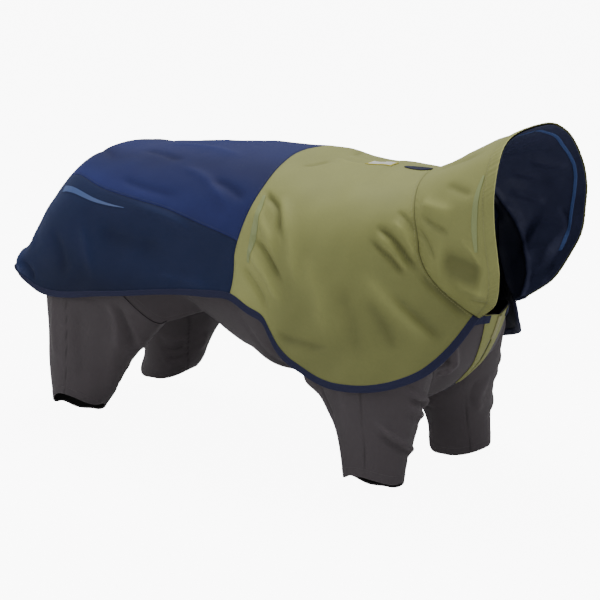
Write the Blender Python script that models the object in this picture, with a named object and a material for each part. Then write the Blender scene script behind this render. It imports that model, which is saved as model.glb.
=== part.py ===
# Dog rain suit: a hooded shell coat over a stretch body suit with four open legs.
# Metres, Z up. +X points to the wearer's head and +Y to its left.
# The origin is on the wearer's back at the withers, on the inner face of the coat.
import math
import bpy
import numpy as np

MM = 0.001

# ---- driving sizes --------------------------------------------------------------
COAT_WALL = 2.0 * MM        # shell and lining together
BINDING_WALL = 2.8 * MM     # folded over the coat's edge
BINDING_WIDTH = 8.0 * MM
HOOD_WALL = 1.6 * MM
LINING_WALL = 1.1 * MM
SUIT_WALL = 1.6 * MM        # stretch cloth
TRIM_WALL = 1.0 * MM        # slivers, label, welt
GAP = 0.3 * MM              # between pieces at a seam
RING_GAP = 0.60 * MM        # at the legs' round seams, which are made of flats
SEAT = 1.1 * MM             # between the suit's hidden edges and the coat's inside
TRIM_GAP = 0.5 * MM         # under what lies on a curved panel
BINDING_GAP = 0.5 * MM      # between the binding and the panels' edges
CORNER_GAP = 0.9 * MM       # the same round the rear hem, whose corners turn sharply
ZIP_WIDTH = 8.0 * MM
PLACKET_WALL = 1.5 * MM
FULLNESS = 0.83             # squareness of the coat's sections, 1 is an ellipse

SHELL_NAVY = (0.017, 0.025, 0.100)
SIDE_NAVY = (0.012, 0.022, 0.064)
BINDING_NAVY = (0.017, 0.020, 0.052)
OLIVE = (0.285, 0.278, 0.086)
LINING_NAVY = (0.026, 0.032, 0.072)
SUIT_GREY = (0.074, 0.063, 0.068)
PALE_BLUE = (0.075, 0.120, 0.280)
PALE_GREEN = (0.270, 0.285, 0.105)
LABEL_WHITE = (0.600, 0.600, 0.560)

CLOTH_ROUGH = 0.75
STRETCH_ROUGH = 0.85
FILM_ROUGH = 0.35

# ---- coat: one row a section, from the rear hem to the neck seam, millimetres -----
# spine point, widest point of the side, hem point, forward bow of the section,
# roundness of the section in plan, place of the back seam along the section
COAT_COLUMNS = ("top_x", "top_z", "side_x", "side_y", "side_z",
                "hem_x", "hem_y", "hem_z", "bow", "round", "seam")
COAT_ROWS = (
    (-473, -164, -464, 98.0, -165, -456, 101.0, -171.0, 0, 0.6, 0.23),
    (-458, -133, -440, 109.0, -157, -430, 116.0, -175.5, 0, 0.65, 0.25),
    (-433, -88, -407, 115.0, -141, -393, 126.0, -183.0, 0, 0.7, 0.29),
    (-404, -38, -377, 120.0, -121, -350, 131.0, -180.0, 0, 0.6, 0.33),
    (-365, -10.5, -345, 124.0, -108, -303, 133.0, -171.0, 0, 0.4, 0.385),
    (-320, -5.5, -302, 127.0, -102, -255, 134.0, -163.0, 0, 0.2, 0.455),
    (-270, -4, -255, 129.0, -98, -212, 134.0, -155.0, 0, 0.0, 0.515),
    (-210, 1, -200, 131.0, -95, -172, 134.5, -149.0, 0, 0.0, 0.58),
    (-150, 5, -147, 133.0, -94, -137, 135.0, -146.0, 6, 0.0, 0.66),
    (-90, 8, -95, 134.5, -94, -104, 135.5, -144.0, 14, 0.0, 0.72),
    (-68, 7.5, -70, 136.0, -102, -77, 137.0, -155.0, 8, 0.0, 0.72),
    (-50, 6.5, -52, 137.0, -106, -56, 138.0, -162.0, 4, 0.0, 0.72),
    (-36, 5, -36, 137.5, -109, -45, 138.5, -178.0, 0, 0.0, 0.72),
    (-22, 3.5, -20, 138.0, -111, -33, 139.0, -194.0, 0, 0.0, 0.72),
    (-8, 2, -3, 138.0, -112, -10, 139.0, -208.0, 0, 0.0, 0.72),
    (6, 2, 16, 137.0, -112, 28, 138.5, -221.0, 0, 0.0, 0.72),
    (20, 2, 36, 134.0, -109, 67, 137.0, -221.0, 0, 0.0, 0.72),
    (34, 1, 56, 128.0, -103, 103, 131.0, -213.5, 0, 0.0, 0.72),
    (48, 1, 74, 117.0, -94, 131, 113.0, -202.0, 0, 0.0, 0.72),
    (60, 1, 90, 105.0, -82, 144, 92.0, -190.0, 0, 0.0, 0.72),
    (70, 1, 103, 96.0, -71, 154, 68.0, -172.0, 0, 0.0, 0.72),
    (78, 2, 115, 88.0, -60, 164, 41.0, -145.0, 0, 0.0, 0.72),
)
YOKE_ROW = 9.0
NECK_ROW = 21.0

# ---- the coat's largest folds: soft ridges, the same on both sides ------------------
# from_u, from_v, mid_u, mid_v, to_u, to_v (row and place across), half width and height in mm
COAT_FOLDS = (
    (9.7, 0.47, 11.5, 0.58, 13.2, 0.76, 13.0, 3.2),
    (9.5, 0.78, 10.8, 0.87, 13.2, 0.93, 12.0, 2.8),
    (18.4, 0.43, 19.9, 0.61, 20.8, 0.86, 12.0, 3.2),
    (17.6, 0.55, 18.8, 0.71, 19.6, 0.93, 13.0, 2.6),
    (1.2, 0.60, 0.9, 0.75, 0.7, 0.92, 12.0, 2.4),
)

# ---- hood: the face opening's edge, from the crown to the chin, millimetres --------
# x, y, z, bulge
RIM_ROWS = (
    (202, 0.0, 63, -2.0),
    (202, 32.0, 61.5, 0.0),
    (202, 57.5, 55, 3.0),
    (206, 82.0, 39, 7.0),
    (211, 101.0, 9, 9.0),
    (214, 105.0, -15, 9.0),
    (215, 103.0, -37, 8.0),
    (215.5, 97.0, -62, 6.0),
    (212, 86.5, -83, 4.0),
    (197.5, 66.0, -118, 1.5),
    (170.5, 47.5, -141.5, 0.0),
)

# ---- legs: one row a ring from the top to the cuff, millimetres --------------------
LEG_COLUMNS = ("mid_x", "mid_y", "half_x", "half_y",
               "front_z", "rear_z", "outer_z", "inner_z")
FRONT_LEG_ROWS = (
    (51, 78, 75, 46, -199, -238, -144, -271),
    (56, 81, 64, 46, -226, -249, -186, -280),
    (59.5, 85, 54, 42, -253, -266, -226, -291),
    (62.5, 89, 45, 37, -280, -287, -264, -306),
    (65, 93, 38.5, 33, -307, -315, -294, -330),
    (66.5, 95.5, 35, 31, -330, -340, -321, -352),
)
REAR_LEG_ROWS = (
    (-333, 80, 88, 41, -207, -159, -129, -238),
    (-343, 82, 76, 40, -232, -194, -174, -248),
    (-353, 85, 61, 37, -260, -232, -219, -267),
    (-362, 88, 50, 34, -286, -266, -257, -290),
    (-366, 90.5, 41.5, 32, -307, -300, -286, -317),
    (-369, 92, 34, 30, -322, -326, -306, -341),
)

# ---- chest and belly: rows that end on the front leg's top ring -------------------
# centre_x and centre_z in millimetres, angle on the ring in degrees, 0 front, 90 outside
CHEST_ROWS = (
    (166, -149, 54),
    (160, -168, 36),
    (152, -187, 18),
    (142, -206, 0),
    (128, -223, -18),
    (112, -238, -36),
    (95, -251, -54),
    (72, -262, -72),
    (46, -268, -90),
    (20, -270, -108),
    (-2, -269, -126),
    (-21, -268, -144),
    (-38, -265, -162),
    (-52, -263, -180),
    (-65, -260, -198),
    (-77, -257, -216),
    (-89, -253.5, -234),
)
CHEST_END = 6
NECKLINE_RISE = 14.0        # the chest's top edge climbs towards the coat, millimetres
# rows past the front legs: centre_x, centre_z, then the hidden edge's x and z
BELLY_ROWS = (
    (-105, -248, -52, -122),
    (-130, -239.5, -100, -108),
    (-155, -230, -150, -106),
    (-178, -220, -200, -110),
    (-197, -212, -248, -118),
)
BELLY_CENTRE_END = (-209, -206.5)
FLANK_ANGLE = 72.0          # where the flank seam ends on the rear leg's top ring
ARCH_BOW = 10.0             # forward bow of the belly's arched rear edge, millimetres
# Handles of the rounded sections' curve: a round section's share and what a square one adds.
CENTRE_REACH = (0.48, 0.12)
EDGE_REACH = (0.38, -0.26)
EDGE_DROP = (0.25, 0.30)
EDGE_SWING = 0.30

# ---- front legs' folds: ridges that end as a bump on the front edge -----------------
# from_ring, from_angle, to_ring, to_angle, then half width and height in millimetres
FRONT_LEG_FOLDS = (
    (2.7, 50.0, 3.95, -32.0, 9.0, 5.0),
    (1.0, 30.0, 1.75, -30.0, 8.0, 5.0),
)

# ---- placket: chest row, 0 is the neck, and half width in millimetres ----------------
PLACKET_ROWS = (
    (0.0, 25.0),
    (0.6, 22.5),
    (1.8, 18.0),
    (2.6, 14.5),
    (3.4, 11.0),
    (4.2, 7.5),
    (4.8, 4.8),
)
PLACKET_STEPS = 10
PLACKET_INNER = 0.6 * MM    # from the centre line to each half's inner edge
ZIP_STEPS = 12
ZIP_END = 0.02              # of a chest row, between the zip's foot and the belly
TAB_ROWS = (0.0, 0.25, 0.5)             # chest rows of the neck tabs
TAB_PLACES = (25.6, 31.0, 36.5)         # their places from the centre line, millimetres
TAB_WALL = 1.6 * MM

# ---- what the surfaces are read with ---------------------------------------------------
UPPER_STEPS = 32            # of a coat section, from the spine to the widest point
LOWER_STEPS = 16            # from there to the hem
SIDE_FROM = 20              # step of a section where the coat's side begins
SIDE_FIRST_ROW = 3
FOLD_STEPS = 12
FOLD_SHARPNESS = 1.6
LEAST_FOLD = 0.02 * MM
CORNER_ROW = 0.4            # the rear corner takes its facing from this row on
CORNER_PLACE = 0.86
SEAM_BLEND = 18.0 * MM      # how far the hood turns to the facing of its neck seam
CHIN_PLACE = 0.92           # past it the hood keeps its facing


def clear_scene():
    for item in list(bpy.data.objects):
        bpy.data.objects.remove(item, do_unlink=True)


def unit(v):
    length = np.linalg.norm(v, axis=-1, keepdims=True)
    return v / np.maximum(length, 1e-12)


def spline_rows(rows, s):
    """Smooth reading of a table of rows at the float row number s."""
    table = np.asarray(rows, float)
    last = len(table) - 1
    s = min(max(s, 0.0), float(last))
    i = min(int(s), last - 1)
    t = s - i
    p1 = table[i]
    p2 = table[i + 1]
    p0 = table[i - 1] if i > 0 else 2.0 * p1 - p2
    p3 = table[i + 2] if i + 2 <= last else 2.0 * p2 - p1
    m1 = 0.5 * (p2 - p0)
    m2 = 0.5 * (p3 - p1)
    a = (2 * t ** 3 - 3 * t ** 2 + 1) * p1 + (t ** 3 - 2 * t ** 2 + t) * m1
    b = (3 * t ** 2 - 2 * t ** 3) * p2 + (t ** 3 - t ** 2) * m2
    return a + b


def along(points, fraction):
    """Point at a fraction of the length of a polyline."""
    steps = np.linalg.norm(np.diff(points, axis=0), axis=1)
    run = np.concatenate(([0.0], np.cumsum(steps)))
    at = min(max(fraction, 0.0), 1.0) * run[-1]
    return np.array([np.interp(at, run, points[:, k]) for k in range(3)])


# ---- the coat's surface ------------------------------------------------------------
COAT_CURVES = {}


def coat_curve(u):
    """Half section of the coat at row u, from the spine to the hem."""
    key = round(u, 5)
    if key in COAT_CURVES:
        return COAT_CURVES[key]
    row = dict(zip(COAT_COLUMNS, spline_rows(COAT_ROWS, u)))
    points = []
    for i in range(UPPER_STEPS + 1):
        turn = 0.5 * math.pi * i / UPPER_STEPS
        s = math.sin(turn) ** FULLNESS
        c = math.cos(turn) ** FULLNESS if i < UPPER_STEPS else 0.0
        swing = row["round"] * (1.0 - c) + (1.0 - row["round"]) * i / UPPER_STEPS
        x = row["top_x"] + (row["side_x"] - row["top_x"]) * swing
        x += row["bow"] * math.sin(2.0 * turn)
        z = row["side_z"] + (row["top_z"] - row["side_z"]) * c
        points.append((x, row["side_y"] * s, z))
    for i in range(1, LOWER_STEPS + 1):
        t = i / LOWER_STEPS
        x = row["side_x"] + (row["hem_x"] - row["side_x"]) * t * t
        y = row["side_y"] + (row["hem_y"] - row["side_y"]) * t * t
        z = row["side_z"] + (row["hem_z"] - row["side_z"]) * t
        points.append((x, y, z))
    curve = np.array(points) * MM
    COAT_CURVES[key] = curve
    return curve


def coat_base(u, v):
    """The coat without its folds: u is the row, v runs -1 right hem, 0 spine, 1 left."""
    p = along(coat_curve(u), abs(v))
    return np.array((p[0], p[1] if v >= 0 else -p[1], p[2]))


def coat_base_normal(u, v):
    a = coat_base(min(u + 0.2, NECK_ROW), v) - coat_base(max(u - 0.2, 0.0), v)
    b = coat_base(u, min(v + 0.03, 1.0)) - coat_base(u, max(v - 0.03, -1.0))
    return unit(np.cross(a, b))


def fold_line(point_at, places):
    """Points along a fold's crest, through its places."""
    last = len(places) - 1
    return np.array([point_at(*spline_rows(places, last * k / FOLD_STEPS))
                     for k in range(FOLD_STEPS + 1)])


def fold_height(p, line, half_width, height):
    """Height of one ridge at a point, fading out at both ends of its crest."""
    away = np.linalg.norm(line - p, axis=1)
    k = int(np.argmin(away))
    ends = math.sin(math.pi * (k + 0.5) / len(line))
    return height * ends * math.exp(-(away[k] / half_width) ** 2 * FOLD_SHARPNESS)


FOLD_LINES = []
for fold in COAT_FOLDS:
    crest = fold_line(coat_base, (fold[0:2], fold[2:4], fold[4:6]))
    FOLD_LINES.append((crest, fold[6] * MM, fold[7] * MM))


def coat_point(u, v):
    """Outer face of the coat with its folds."""
    p = coat_base(u, v)
    mirrored = np.array((p[0], abs(p[1]), p[2]))
    height = sum(fold_height(mirrored, *fold) for fold in FOLD_LINES)
    if height < LEAST_FOLD:
        return p
    return p + coat_base_normal(u, v) * height


def coat_raw_normal(u, v):
    du = 0.03
    dv = 0.015
    a = coat_point(min(u + du, NECK_ROW), v) - coat_point(max(u - du, 0.0), v)
    b = coat_point(u, min(v + dv, 1.0)) - coat_point(u, max(v - dv, -1.0))
    return unit(np.cross(a, b))


def coat_step(u, v, distance):
    """Rows to move so that the surface moves by a distance along the body."""
    lo = max(u - 0.1, 0.0)
    hi = min(u + 0.1, NECK_ROW)
    rate = np.linalg.norm(coat_point(hi, v) - coat_point(lo, v)) / (hi - lo)
    return distance / max(rate, 1e-6)


def coat_side_step(u, distance):
    """Fraction of the section that a distance along it takes."""
    curve = coat_curve(u)
    return distance / np.linalg.norm(np.diff(curve, axis=0), axis=1).sum()


def coat_half_width(x, z):
    """Half width of the coat's outer face at a place on its side."""
    xs = []
    ys = []
    for k in range(4 * SIDE_FIRST_ROW, 4 * int(NECK_ROW) + 1):
        curve = coat_curve(k / 4)[SIDE_FROM:]
        order = np.argsort(curve[:, 2])
        xs.append(np.interp(z, curve[order, 2], curve[order, 0]))
        ys.append(np.interp(z, curve[order, 2], curve[order, 1]))
    order = np.argsort(xs)
    return float(np.interp(x, np.array(xs)[order], np.array(ys)[order]))


# ---- the hood's surface ------------------------------------------------------------
RIM_CURVE = np.array([spline_rows(RIM_ROWS, i / 4)[:3]
                      for i in range(4 * (len(RIM_ROWS) - 1) + 1)]) * MM


def hood_raw(w, v):
    """Hood surface before its bulge: w is 0 at the neck seam and 1 at the face edge."""
    neck = coat_point(NECK_ROW, v)
    rim = along(RIM_CURVE, abs(v))
    if v < 0:
        rim[1] = -rim[1]
    return neck * (1.0 - w) + rim * w


def hood_raw_normal(w, v):
    a = hood_raw(1.0, v) - hood_raw(0.0, v)
    b = hood_raw(w, min(v + 0.02, 1.0)) - hood_raw(w, max(v - 0.02, -1.0))
    return unit(np.cross(a, b))


def hood_point(w, v):
    row = spline_rows(RIM_ROWS, abs(v) * (len(RIM_ROWS) - 1))
    swell = row[3] * MM * 4.0 * w * (1.0 - w)
    return hood_raw(w, v) + hood_raw_normal(w, v) * swell


def hood_side_normal(w, v):
    a = hood_point(min(w + 0.03, 1.0), v) - hood_point(max(w - 0.03, 0.0), v)
    b = hood_point(w, min(v + 0.02, 1.0)) - hood_point(w, max(v - 0.02, -1.0))
    return unit(np.cross(a, b))


def seam_normal(v):
    """Shared normal of coat and hood along the neck seam."""
    return unit(coat_raw_normal(NECK_ROW, v) + hood_side_normal(0.0, v))


def coat_normal(u, v):
    near = max(0.0, 1.0 - (NECK_ROW - u))
    if u < 1.0:
        # The rear corner turns sharply, so its wall follows the panel beside it.
        u = max(u, CORNER_ROW)
        end = CORNER_PLACE + (1.0 - CORNER_PLACE) * u
        return coat_raw_normal(u, min(max(v, -end), end))
    if near <= 0.0:
        return coat_raw_normal(u, v)
    return unit(coat_raw_normal(u, v) * (1.0 - near) + seam_normal(v) * near)


def hood_normal(w, v):
    length = np.linalg.norm(hood_raw(1.0, v) - hood_raw(0.0, v))
    near = max(0.0, 1.0 - w * length / SEAM_BLEND)
    v = min(max(v, -CHIN_PLACE), CHIN_PLACE)
    if near <= 0.0:
        return hood_side_normal(w, v)
    return unit(hood_side_normal(w, v) * (1.0 - near) + seam_normal(v) * near)


# ---- the legs' surfaces ------------------------------------------------------------
def leg_point(rows, ring, angle, side):
    """Outer face of a leg: angle 0 front, 90 outside; side is 1 left and -1 right."""
    row = dict(zip(LEG_COLUMNS, spline_rows(rows, ring)))
    turn = math.radians(angle)
    c = math.cos(turn)
    s = math.sin(turn)
    x = (row["mid_x"] + row["half_x"] * c) * MM
    y = (row["mid_y"] + row["half_y"] * s) * MM
    fore_z = row["front_z"] if c > 0 else row["rear_z"]
    side_z = row["outer_z"] if s > 0 else row["inner_z"]
    z = (c * c * fore_z + s * s * side_z) * MM
    if s > 0 and ring < 1.0:
        seat = coat_half_width(x, z) - COAT_WALL - SEAT
        y = min(y + (seat - y) * s * s * (1.0 - ring), seat)
    for crest, half_width, height in leg_fold_lines(rows):
        swell = fold_height(np.array((x, y, z)), crest, half_width, height)
        x += c * swell
        y += s * swell
    return np.array((x, y * side, z))


LEG_FOLD_LINES = []


def leg_fold_lines(rows):
    return LEG_FOLD_LINES if rows is FRONT_LEG_ROWS else ()


def leg_crest(ring, angle):
    return leg_point(FRONT_LEG_ROWS, ring, angle, 1)


for fold in FRONT_LEG_FOLDS:
    crest = fold_line(leg_crest, (fold[0:2], fold[2:4]))
    LEG_FOLD_LINES.append((crest, fold[4] * MM, fold[5] * MM))


def leg_normal(rows, ring, angle, side):
    top = leg_point(rows, max(ring - 0.1, 0.0), angle, side)
    low = leg_point(rows, min(ring + 0.1, len(rows) - 1.0), angle, side)
    ahead = leg_point(rows, ring, angle + 4.0, side)
    behind = leg_point(rows, ring, angle - 4.0, side)
    return unit(np.cross(ahead - behind, low - top)) * -side


def leg_edge(rows, angle, side, lift):
    """Point on the cloth that meets a leg's top ring, a seam's gap above it."""
    top = leg_point(rows, 0.0, angle, side)
    low = leg_point(rows, 0.2, angle, side)
    ring = leg_point(rows, 0.0, angle + 4.0, side) - leg_point(rows, 0.0, angle - 4.0, side)
    up = unit(np.cross(ring, leg_normal(rows, 0.0, angle, side)))
    if np.dot(up, top - low) < 0.0:
        up = -up
    return top + up * lift


# ---- chest and belly ----------------------------------------------------------------
def body_rows():
    """Centre points, edge points and edge normals of the left half, row by row."""
    centres = []
    edges = []
    normals = []
    for centre_x, centre_z, angle in CHEST_ROWS:
        centres.append((centre_x * MM, 0.0, centre_z * MM))
        edges.append(leg_edge(FRONT_LEG_ROWS, angle, 1, RING_GAP))
        normals.append(leg_normal(FRONT_LEG_ROWS, 0.0, angle, 1))
    for centre_x, centre_z, edge_x, edge_z in BELLY_ROWS:
        x = edge_x * MM
        z = edge_z * MM
        centres.append((centre_x * MM, 0.0, centre_z * MM))
        edges.append(np.array((x, coat_half_width(x, z) - COAT_WALL - SEAT, z)))
        normals.append(np.array((0.0, 1.0, 0.0)))
    return np.array(centres), np.array(edges), np.array(normals)


def body_cross(centre, edge, fraction, square, lift=0.0):
    """Point between the centre line and the edge on a rounded section."""
    reach = edge[1]
    rise = max(edge[2] - centre[2], 0.0)
    shift = edge[0] - centre[0]
    out, back, drop = (low + more * square for low, more in (CENTRE_REACH, EDGE_REACH, EDGE_DROP))
    a = centre + np.array((0.0, out * reach, lift))
    b = edge - np.array((EDGE_SWING * shift, back * reach, drop * rise))
    t = fraction
    p = (1 - t) ** 3 * centre + 3 * (1 - t) ** 2 * t * a
    return p + 3 * (1 - t) * t * t * b + t ** 3 * edge


def neckline_lift(row):
    """Rise of a chest row beside its centre, fading out over the first rows."""
    return NECKLINE_RISE * MM * max(1.0 - row / 3.0, 0.0)


def grid_normals(grid):
    """Normals of a grid of points by differences along both ways."""
    return unit(np.cross(np.gradient(grid, axis=0), np.gradient(grid, axis=1)))


# ---- solids ---------------------------------------------------------------------------
def paint(item, colour, rough):
    material = bpy.data.materials.new(item.name + "_material")
    material.use_nodes = True
    shader = material.node_tree.nodes["Principled BSDF"]
    shader.inputs["Base Color"].default_value = (*colour, 1.0)
    shader.inputs["Roughness"].default_value = rough
    shader.inputs["Metallic"].default_value = 0.0
    item.data.materials.append(material)


def add_solid(name, points, faces, colour, rough):
    """Mesh object from points and faces, turned so that it faces outwards."""
    points = np.asarray(points, float)
    volume = 0.0
    for face in faces:
        for k in range(1, len(face) - 1):
            a = points[face[0]]
            b = points[face[k]]
            c = points[face[k + 1]]
            volume += float(np.dot(a, np.cross(b, c)))
    if volume < 0.0:
        faces = [tuple(reversed(face)) for face in faces]
    mesh = bpy.data.meshes.new(name)
    mesh.from_pydata([tuple(p) for p in points], [], faces)
    mesh.update()
    item = bpy.data.objects.new(name, mesh)
    bpy.context.scene.collection.objects.link(item)
    paint(item, colour, rough)


def wall_solid(name, outer, inner, colour, loop=False, rough=CLOTH_ROUGH):
    """Closed wall between two grids of points; loop joins the last column to the first."""
    rows, cols = outer.shape[:2]
    points = np.concatenate((outer.reshape(-1, 3), inner.reshape(-1, 3)))
    half = rows * cols
    faces = []
    spans = cols if loop else cols - 1
    for i in range(rows - 1):
        for j in range(spans):
            k = (j + 1) % cols
            a, b = i * cols + j, i * cols + k
            c, d = a + cols, b + cols
            faces.append((a, b, d))
            faces.append((a, d, c))
            faces.append((half + a, half + d, half + b))
            faces.append((half + a, half + c, half + d))
    for j in range(spans):
        k = (j + 1) % cols
        end = (rows - 1) * cols
        faces.append((j, half + j, half + k, k))
        faces.append((end + j, end + k, half + end + k, half + end + j))
    if not loop:
        for i in range(rows - 1):
            a, c = i * cols, (i + 1) * cols
            faces.append((a, c, half + c, half + a))
            b, d = a + cols - 1, c + cols - 1
            faces.append((b, half + b, half + d, d))
    add_solid(name, points, faces, colour, rough)


def coat_panel(name, grid_uv, colour, wall, lift=0.0):
    """Solid on the coat's surface from a grid of (u, v) places."""
    point = np.array([[coat_point(u, v) for u, v in row] for row in grid_uv])
    normal = np.array([[coat_normal(u, v) for u, v in row] for row in grid_uv])
    outer = point + normal * lift
    wall_solid(name, outer, outer - normal * wall, colour)


def hood_panel(name, grid_wv, colour, wall, lift=0.0, rough=CLOTH_ROUGH):
    point = np.array([[hood_point(w, v) for w, v in row] for row in grid_wv])
    normal = np.array([[hood_normal(w, v) for w, v in row] for row in grid_wv])
    outer = point + normal * lift
    wall_solid(name, outer, outer - normal * wall, colour, rough=rough)


NECK_LOW = 1.0 - coat_side_step(NECK_ROW, BINDING_WIDTH + BINDING_GAP)


def seam_fraction(u):
    return spline_rows(COAT_ROWS, u)[COAT_COLUMNS.index("seam")]


# ---- coat panels ------------------------------------------------------------------------
REAR_ROWS = [0.5 * k for k in range(7)]
REAR_ROWS += [float(k) for k in range(4, int(YOKE_ROW) + 1)]
SHOULDER_ROWS = [float(k) for k in range(int(YOKE_ROW), int(NECK_ROW) + 1)]
CORNER_END = 1.2            # the rear corners end at this row
SIDE_STEPS = 9
SHOULDER_STEPS = 18


def rear_u(k, v):
    """Row of the rear panels, kept off the rear binding and off the yoke seam."""
    u = REAR_ROWS[k]
    if k == 0:
        return coat_step(0.0, v, BINDING_WIDTH + CORNER_GAP)
    if k == len(REAR_ROWS) - 1:
        return u - coat_step(u, v, 0.5 * GAP)
    return u


def back_columns(k):
    """Places across the back panel at its row k, from the right seam to the left."""
    u = rear_u(k, 0.3)
    edge = seam_fraction(u) - coat_side_step(u, 0.5 * GAP)
    return [edge * j / 7 for j in range(-7, 8)]


def side_columns(k):
    """Places down a side panel at its row k, from the back seam to the binding."""
    u = rear_u(k, 0.7)
    top = seam_fraction(u) + coat_side_step(u, 0.5 * GAP)
    gap = CORNER_GAP if u < CORNER_END else BINDING_GAP
    low = 1.0 - coat_side_step(u, BINDING_WIDTH + gap)
    return [top + (low - top) * j / SIDE_STEPS for j in range(SIDE_STEPS + 1)]


def build_back():
    grid = [[(rear_u(k, v), v) for v in back_columns(k)] for k in range(len(REAR_ROWS))]
    coat_panel("coat_back", grid, SHELL_NAVY, COAT_WALL)


def build_side(name, side):
    grid = [[(rear_u(k, v), side * v) for v in side_columns(k)]
            for k in range(len(REAR_ROWS))]
    coat_panel(name, grid, SIDE_NAVY, COAT_WALL)


def build_shoulder():
    grid = []
    for k, base in enumerate(SHOULDER_ROWS):
        row = []
        for j in range(-SHOULDER_STEPS, SHOULDER_STEPS + 1):
            v = j / SHOULDER_STEPS
            u = base
            if k == 0:
                u += coat_step(u, v, 0.5 * GAP)
            if k == len(SHOULDER_ROWS) - 1:
                u -= coat_step(u, v, 0.5 * GAP)
            low = 1.0 - coat_side_step(u, BINDING_WIDTH + BINDING_GAP)
            row.append((u, v * low))
        grid.append(row)
    coat_panel("coat_shoulder", grid, OLIVE, COAT_WALL)


def build_binding():
    """One strip round the whole hem, mitred at the two rear corners."""
    edge = []
    inset = []
    rows = [NECK_ROW - coat_step(NECK_ROW, 1.0, 0.5 * GAP)]
    rows += SHOULDER_ROWS[-2::-1] + REAR_ROWS[-2:0:-1]
    for side in (-1, 1):
        path = []
        for u in rows:
            path.append(((u, side), (u, side * (1.0 - coat_side_step(u, BINDING_WIDTH)))))
        corner_v = 1.0 - coat_side_step(rear_u(0, 0.7), BINDING_WIDTH)
        corner_u = coat_step(0.0, corner_v, BINDING_WIDTH)
        path.append(((0.0, side), (corner_u, side * corner_v)))
        if side == 1:
            path.reverse()
            half = back_columns(0)[8:] + side_columns(0)[1:-1]
            for v in [-v for v in reversed(half)] + [0.0] + half:
                edge.append((0.0, v))
                inset.append((coat_step(0.0, v, BINDING_WIDTH), v))
        for outer_uv, inner_uv in path:
            edge.append(outer_uv)
            inset.append(inner_uv)
    grid = [inset, edge]
    lift = 0.5 * (BINDING_WALL - COAT_WALL)
    coat_panel("coat_binding", grid, BINDING_NAVY, BINDING_WALL, lift=lift)


def strip_grid(path, half_width, taper, count):
    """Grid of places for a tapered strip along a line of places on a surface."""
    path = np.asarray(path, float)
    grid = []
    for i in range(count):
        f = i / (count - 1)
        at = f * (len(path) - 1)
        base = spline_rows(path, at)
        ahead = spline_rows(path, min(at + 0.05, len(path) - 1.0))
        behind = spline_rows(path, max(at - 0.05, 0.0))
        grid.append((base, ahead - behind, half_width * taper(f)))
    return grid


def surface_strip(name, point_at, normal_at, path, half_width, taper, colour,
                  count=7, wall=TRIM_WALL, rough=FILM_ROUGH):
    """Thin tapered strip lying a gap above a surface."""
    outer = []
    normals = []
    for base, direction, half in strip_grid(path, half_width, taper, count):
        here = point_at(*base)
        ahead = point_at(*(base + 0.5 * direction))
        behind = point_at(*(base - 0.5 * direction))
        tangent = unit(ahead - behind)
        normal = normal_at(*base)
        cross = unit(np.cross(normal, tangent))
        middle = here + normal * (TRIM_GAP + wall)
        outer.append([middle + cross * offset for offset in (-half, 0.0, half)])
        normals.append([normal] * 3)
    outer = np.array(outer)
    normals = np.array(normals)
    wall_solid(name, outer, outer - normals * wall, colour, rough=rough)


clear_scene()
build_back()
build_side("coat_side_right", -1)
build_side("coat_side_left", 1)
build_shoulder()
build_binding()

# ---- hood ------------------------------------------------------------------------------
HOOD_STEPS = (0.0, 0.12, 0.28, 0.45, 0.62, 0.79, 0.86, 1.0)
HOOD_COLUMNS = [NECK_LOW * j / SHOULDER_STEPS
                for j in range(-SHOULDER_STEPS, SHOULDER_STEPS + 1)]


def hood_grid(first, last, columns):
    grid = []
    for step in HOOD_STEPS:
        row = []
        for v in columns:
            length = np.linalg.norm(hood_raw(1.0, v) - hood_raw(0.0, v))
            row.append((min(max(step, first / length), 1.0 - last / length), v))
        grid.append(row)
    return grid


hood_panel("hood_outer", hood_grid(0.5 * GAP, 0.0, [-0.995] + HOOD_COLUMNS + [0.995]),
           OLIVE, HOOD_WALL)
hood_panel("hood_lining", hood_grid(1.2 * MM, 1.2 * MM, HOOD_COLUMNS), LINING_NAVY,
           LINING_WALL, lift=-(HOOD_WALL + GAP))

# The tape lies on the lining, a little behind the face opening.
TAPE_HALF = 2.0 * MM
TAPE_WALL = 0.7 * MM
TAPE_PLACE = 0.825          # from the neck seam to the face edge
tape_grid = []
for side_shift in (1.0, -1.0):
    row = []
    for v in HOOD_COLUMNS[2:-2]:
        length = np.linalg.norm(hood_raw(1.0, v) - hood_raw(0.0, v))
        row.append((TAPE_PLACE + side_shift * TAPE_HALF / length, v))
    tape_grid.append(row)
hood_panel("hood_tape", tape_grid, PALE_BLUE, TAPE_WALL,
           lift=-(HOOD_WALL + 2.0 * GAP + LINING_WALL), rough=FILM_ROUGH)

# ---- legs -------------------------------------------------------------------------------
LEG_SIDES = 20


def build_leg(name, rows, side, steps):
    """Open tube, with a number of steps from one ring of the table to the next."""
    outer = []
    normals = []
    for step in range(steps * (len(rows) - 1) + 1):
        ring = step / steps
        angles = [360.0 * k / LEG_SIDES for k in range(LEG_SIDES)]
        outer.append([leg_point(rows, ring, a, side) for a in angles])
        normals.append([leg_normal(rows, ring, a, side) for a in angles])
    outer = np.array(outer)
    normals = np.array(normals)
    wall_solid(name, outer, outer - normals * SUIT_WALL, SUIT_GREY, loop=True, rough=STRETCH_ROUGH)


build_leg("leg_front_right", FRONT_LEG_ROWS, -1, 2)
build_leg("leg_front_left", FRONT_LEG_ROWS, 1, 2)
build_leg("leg_rear_right", REAR_LEG_ROWS, -1, 1)
build_leg("leg_rear_left", REAR_LEG_ROWS, 1, 1)

# ---- chest and belly ---------------------------------------------------------------------
BODY_COLS = 8
CENTRES, EDGES, EDGE_NORMALS = body_rows()


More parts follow.
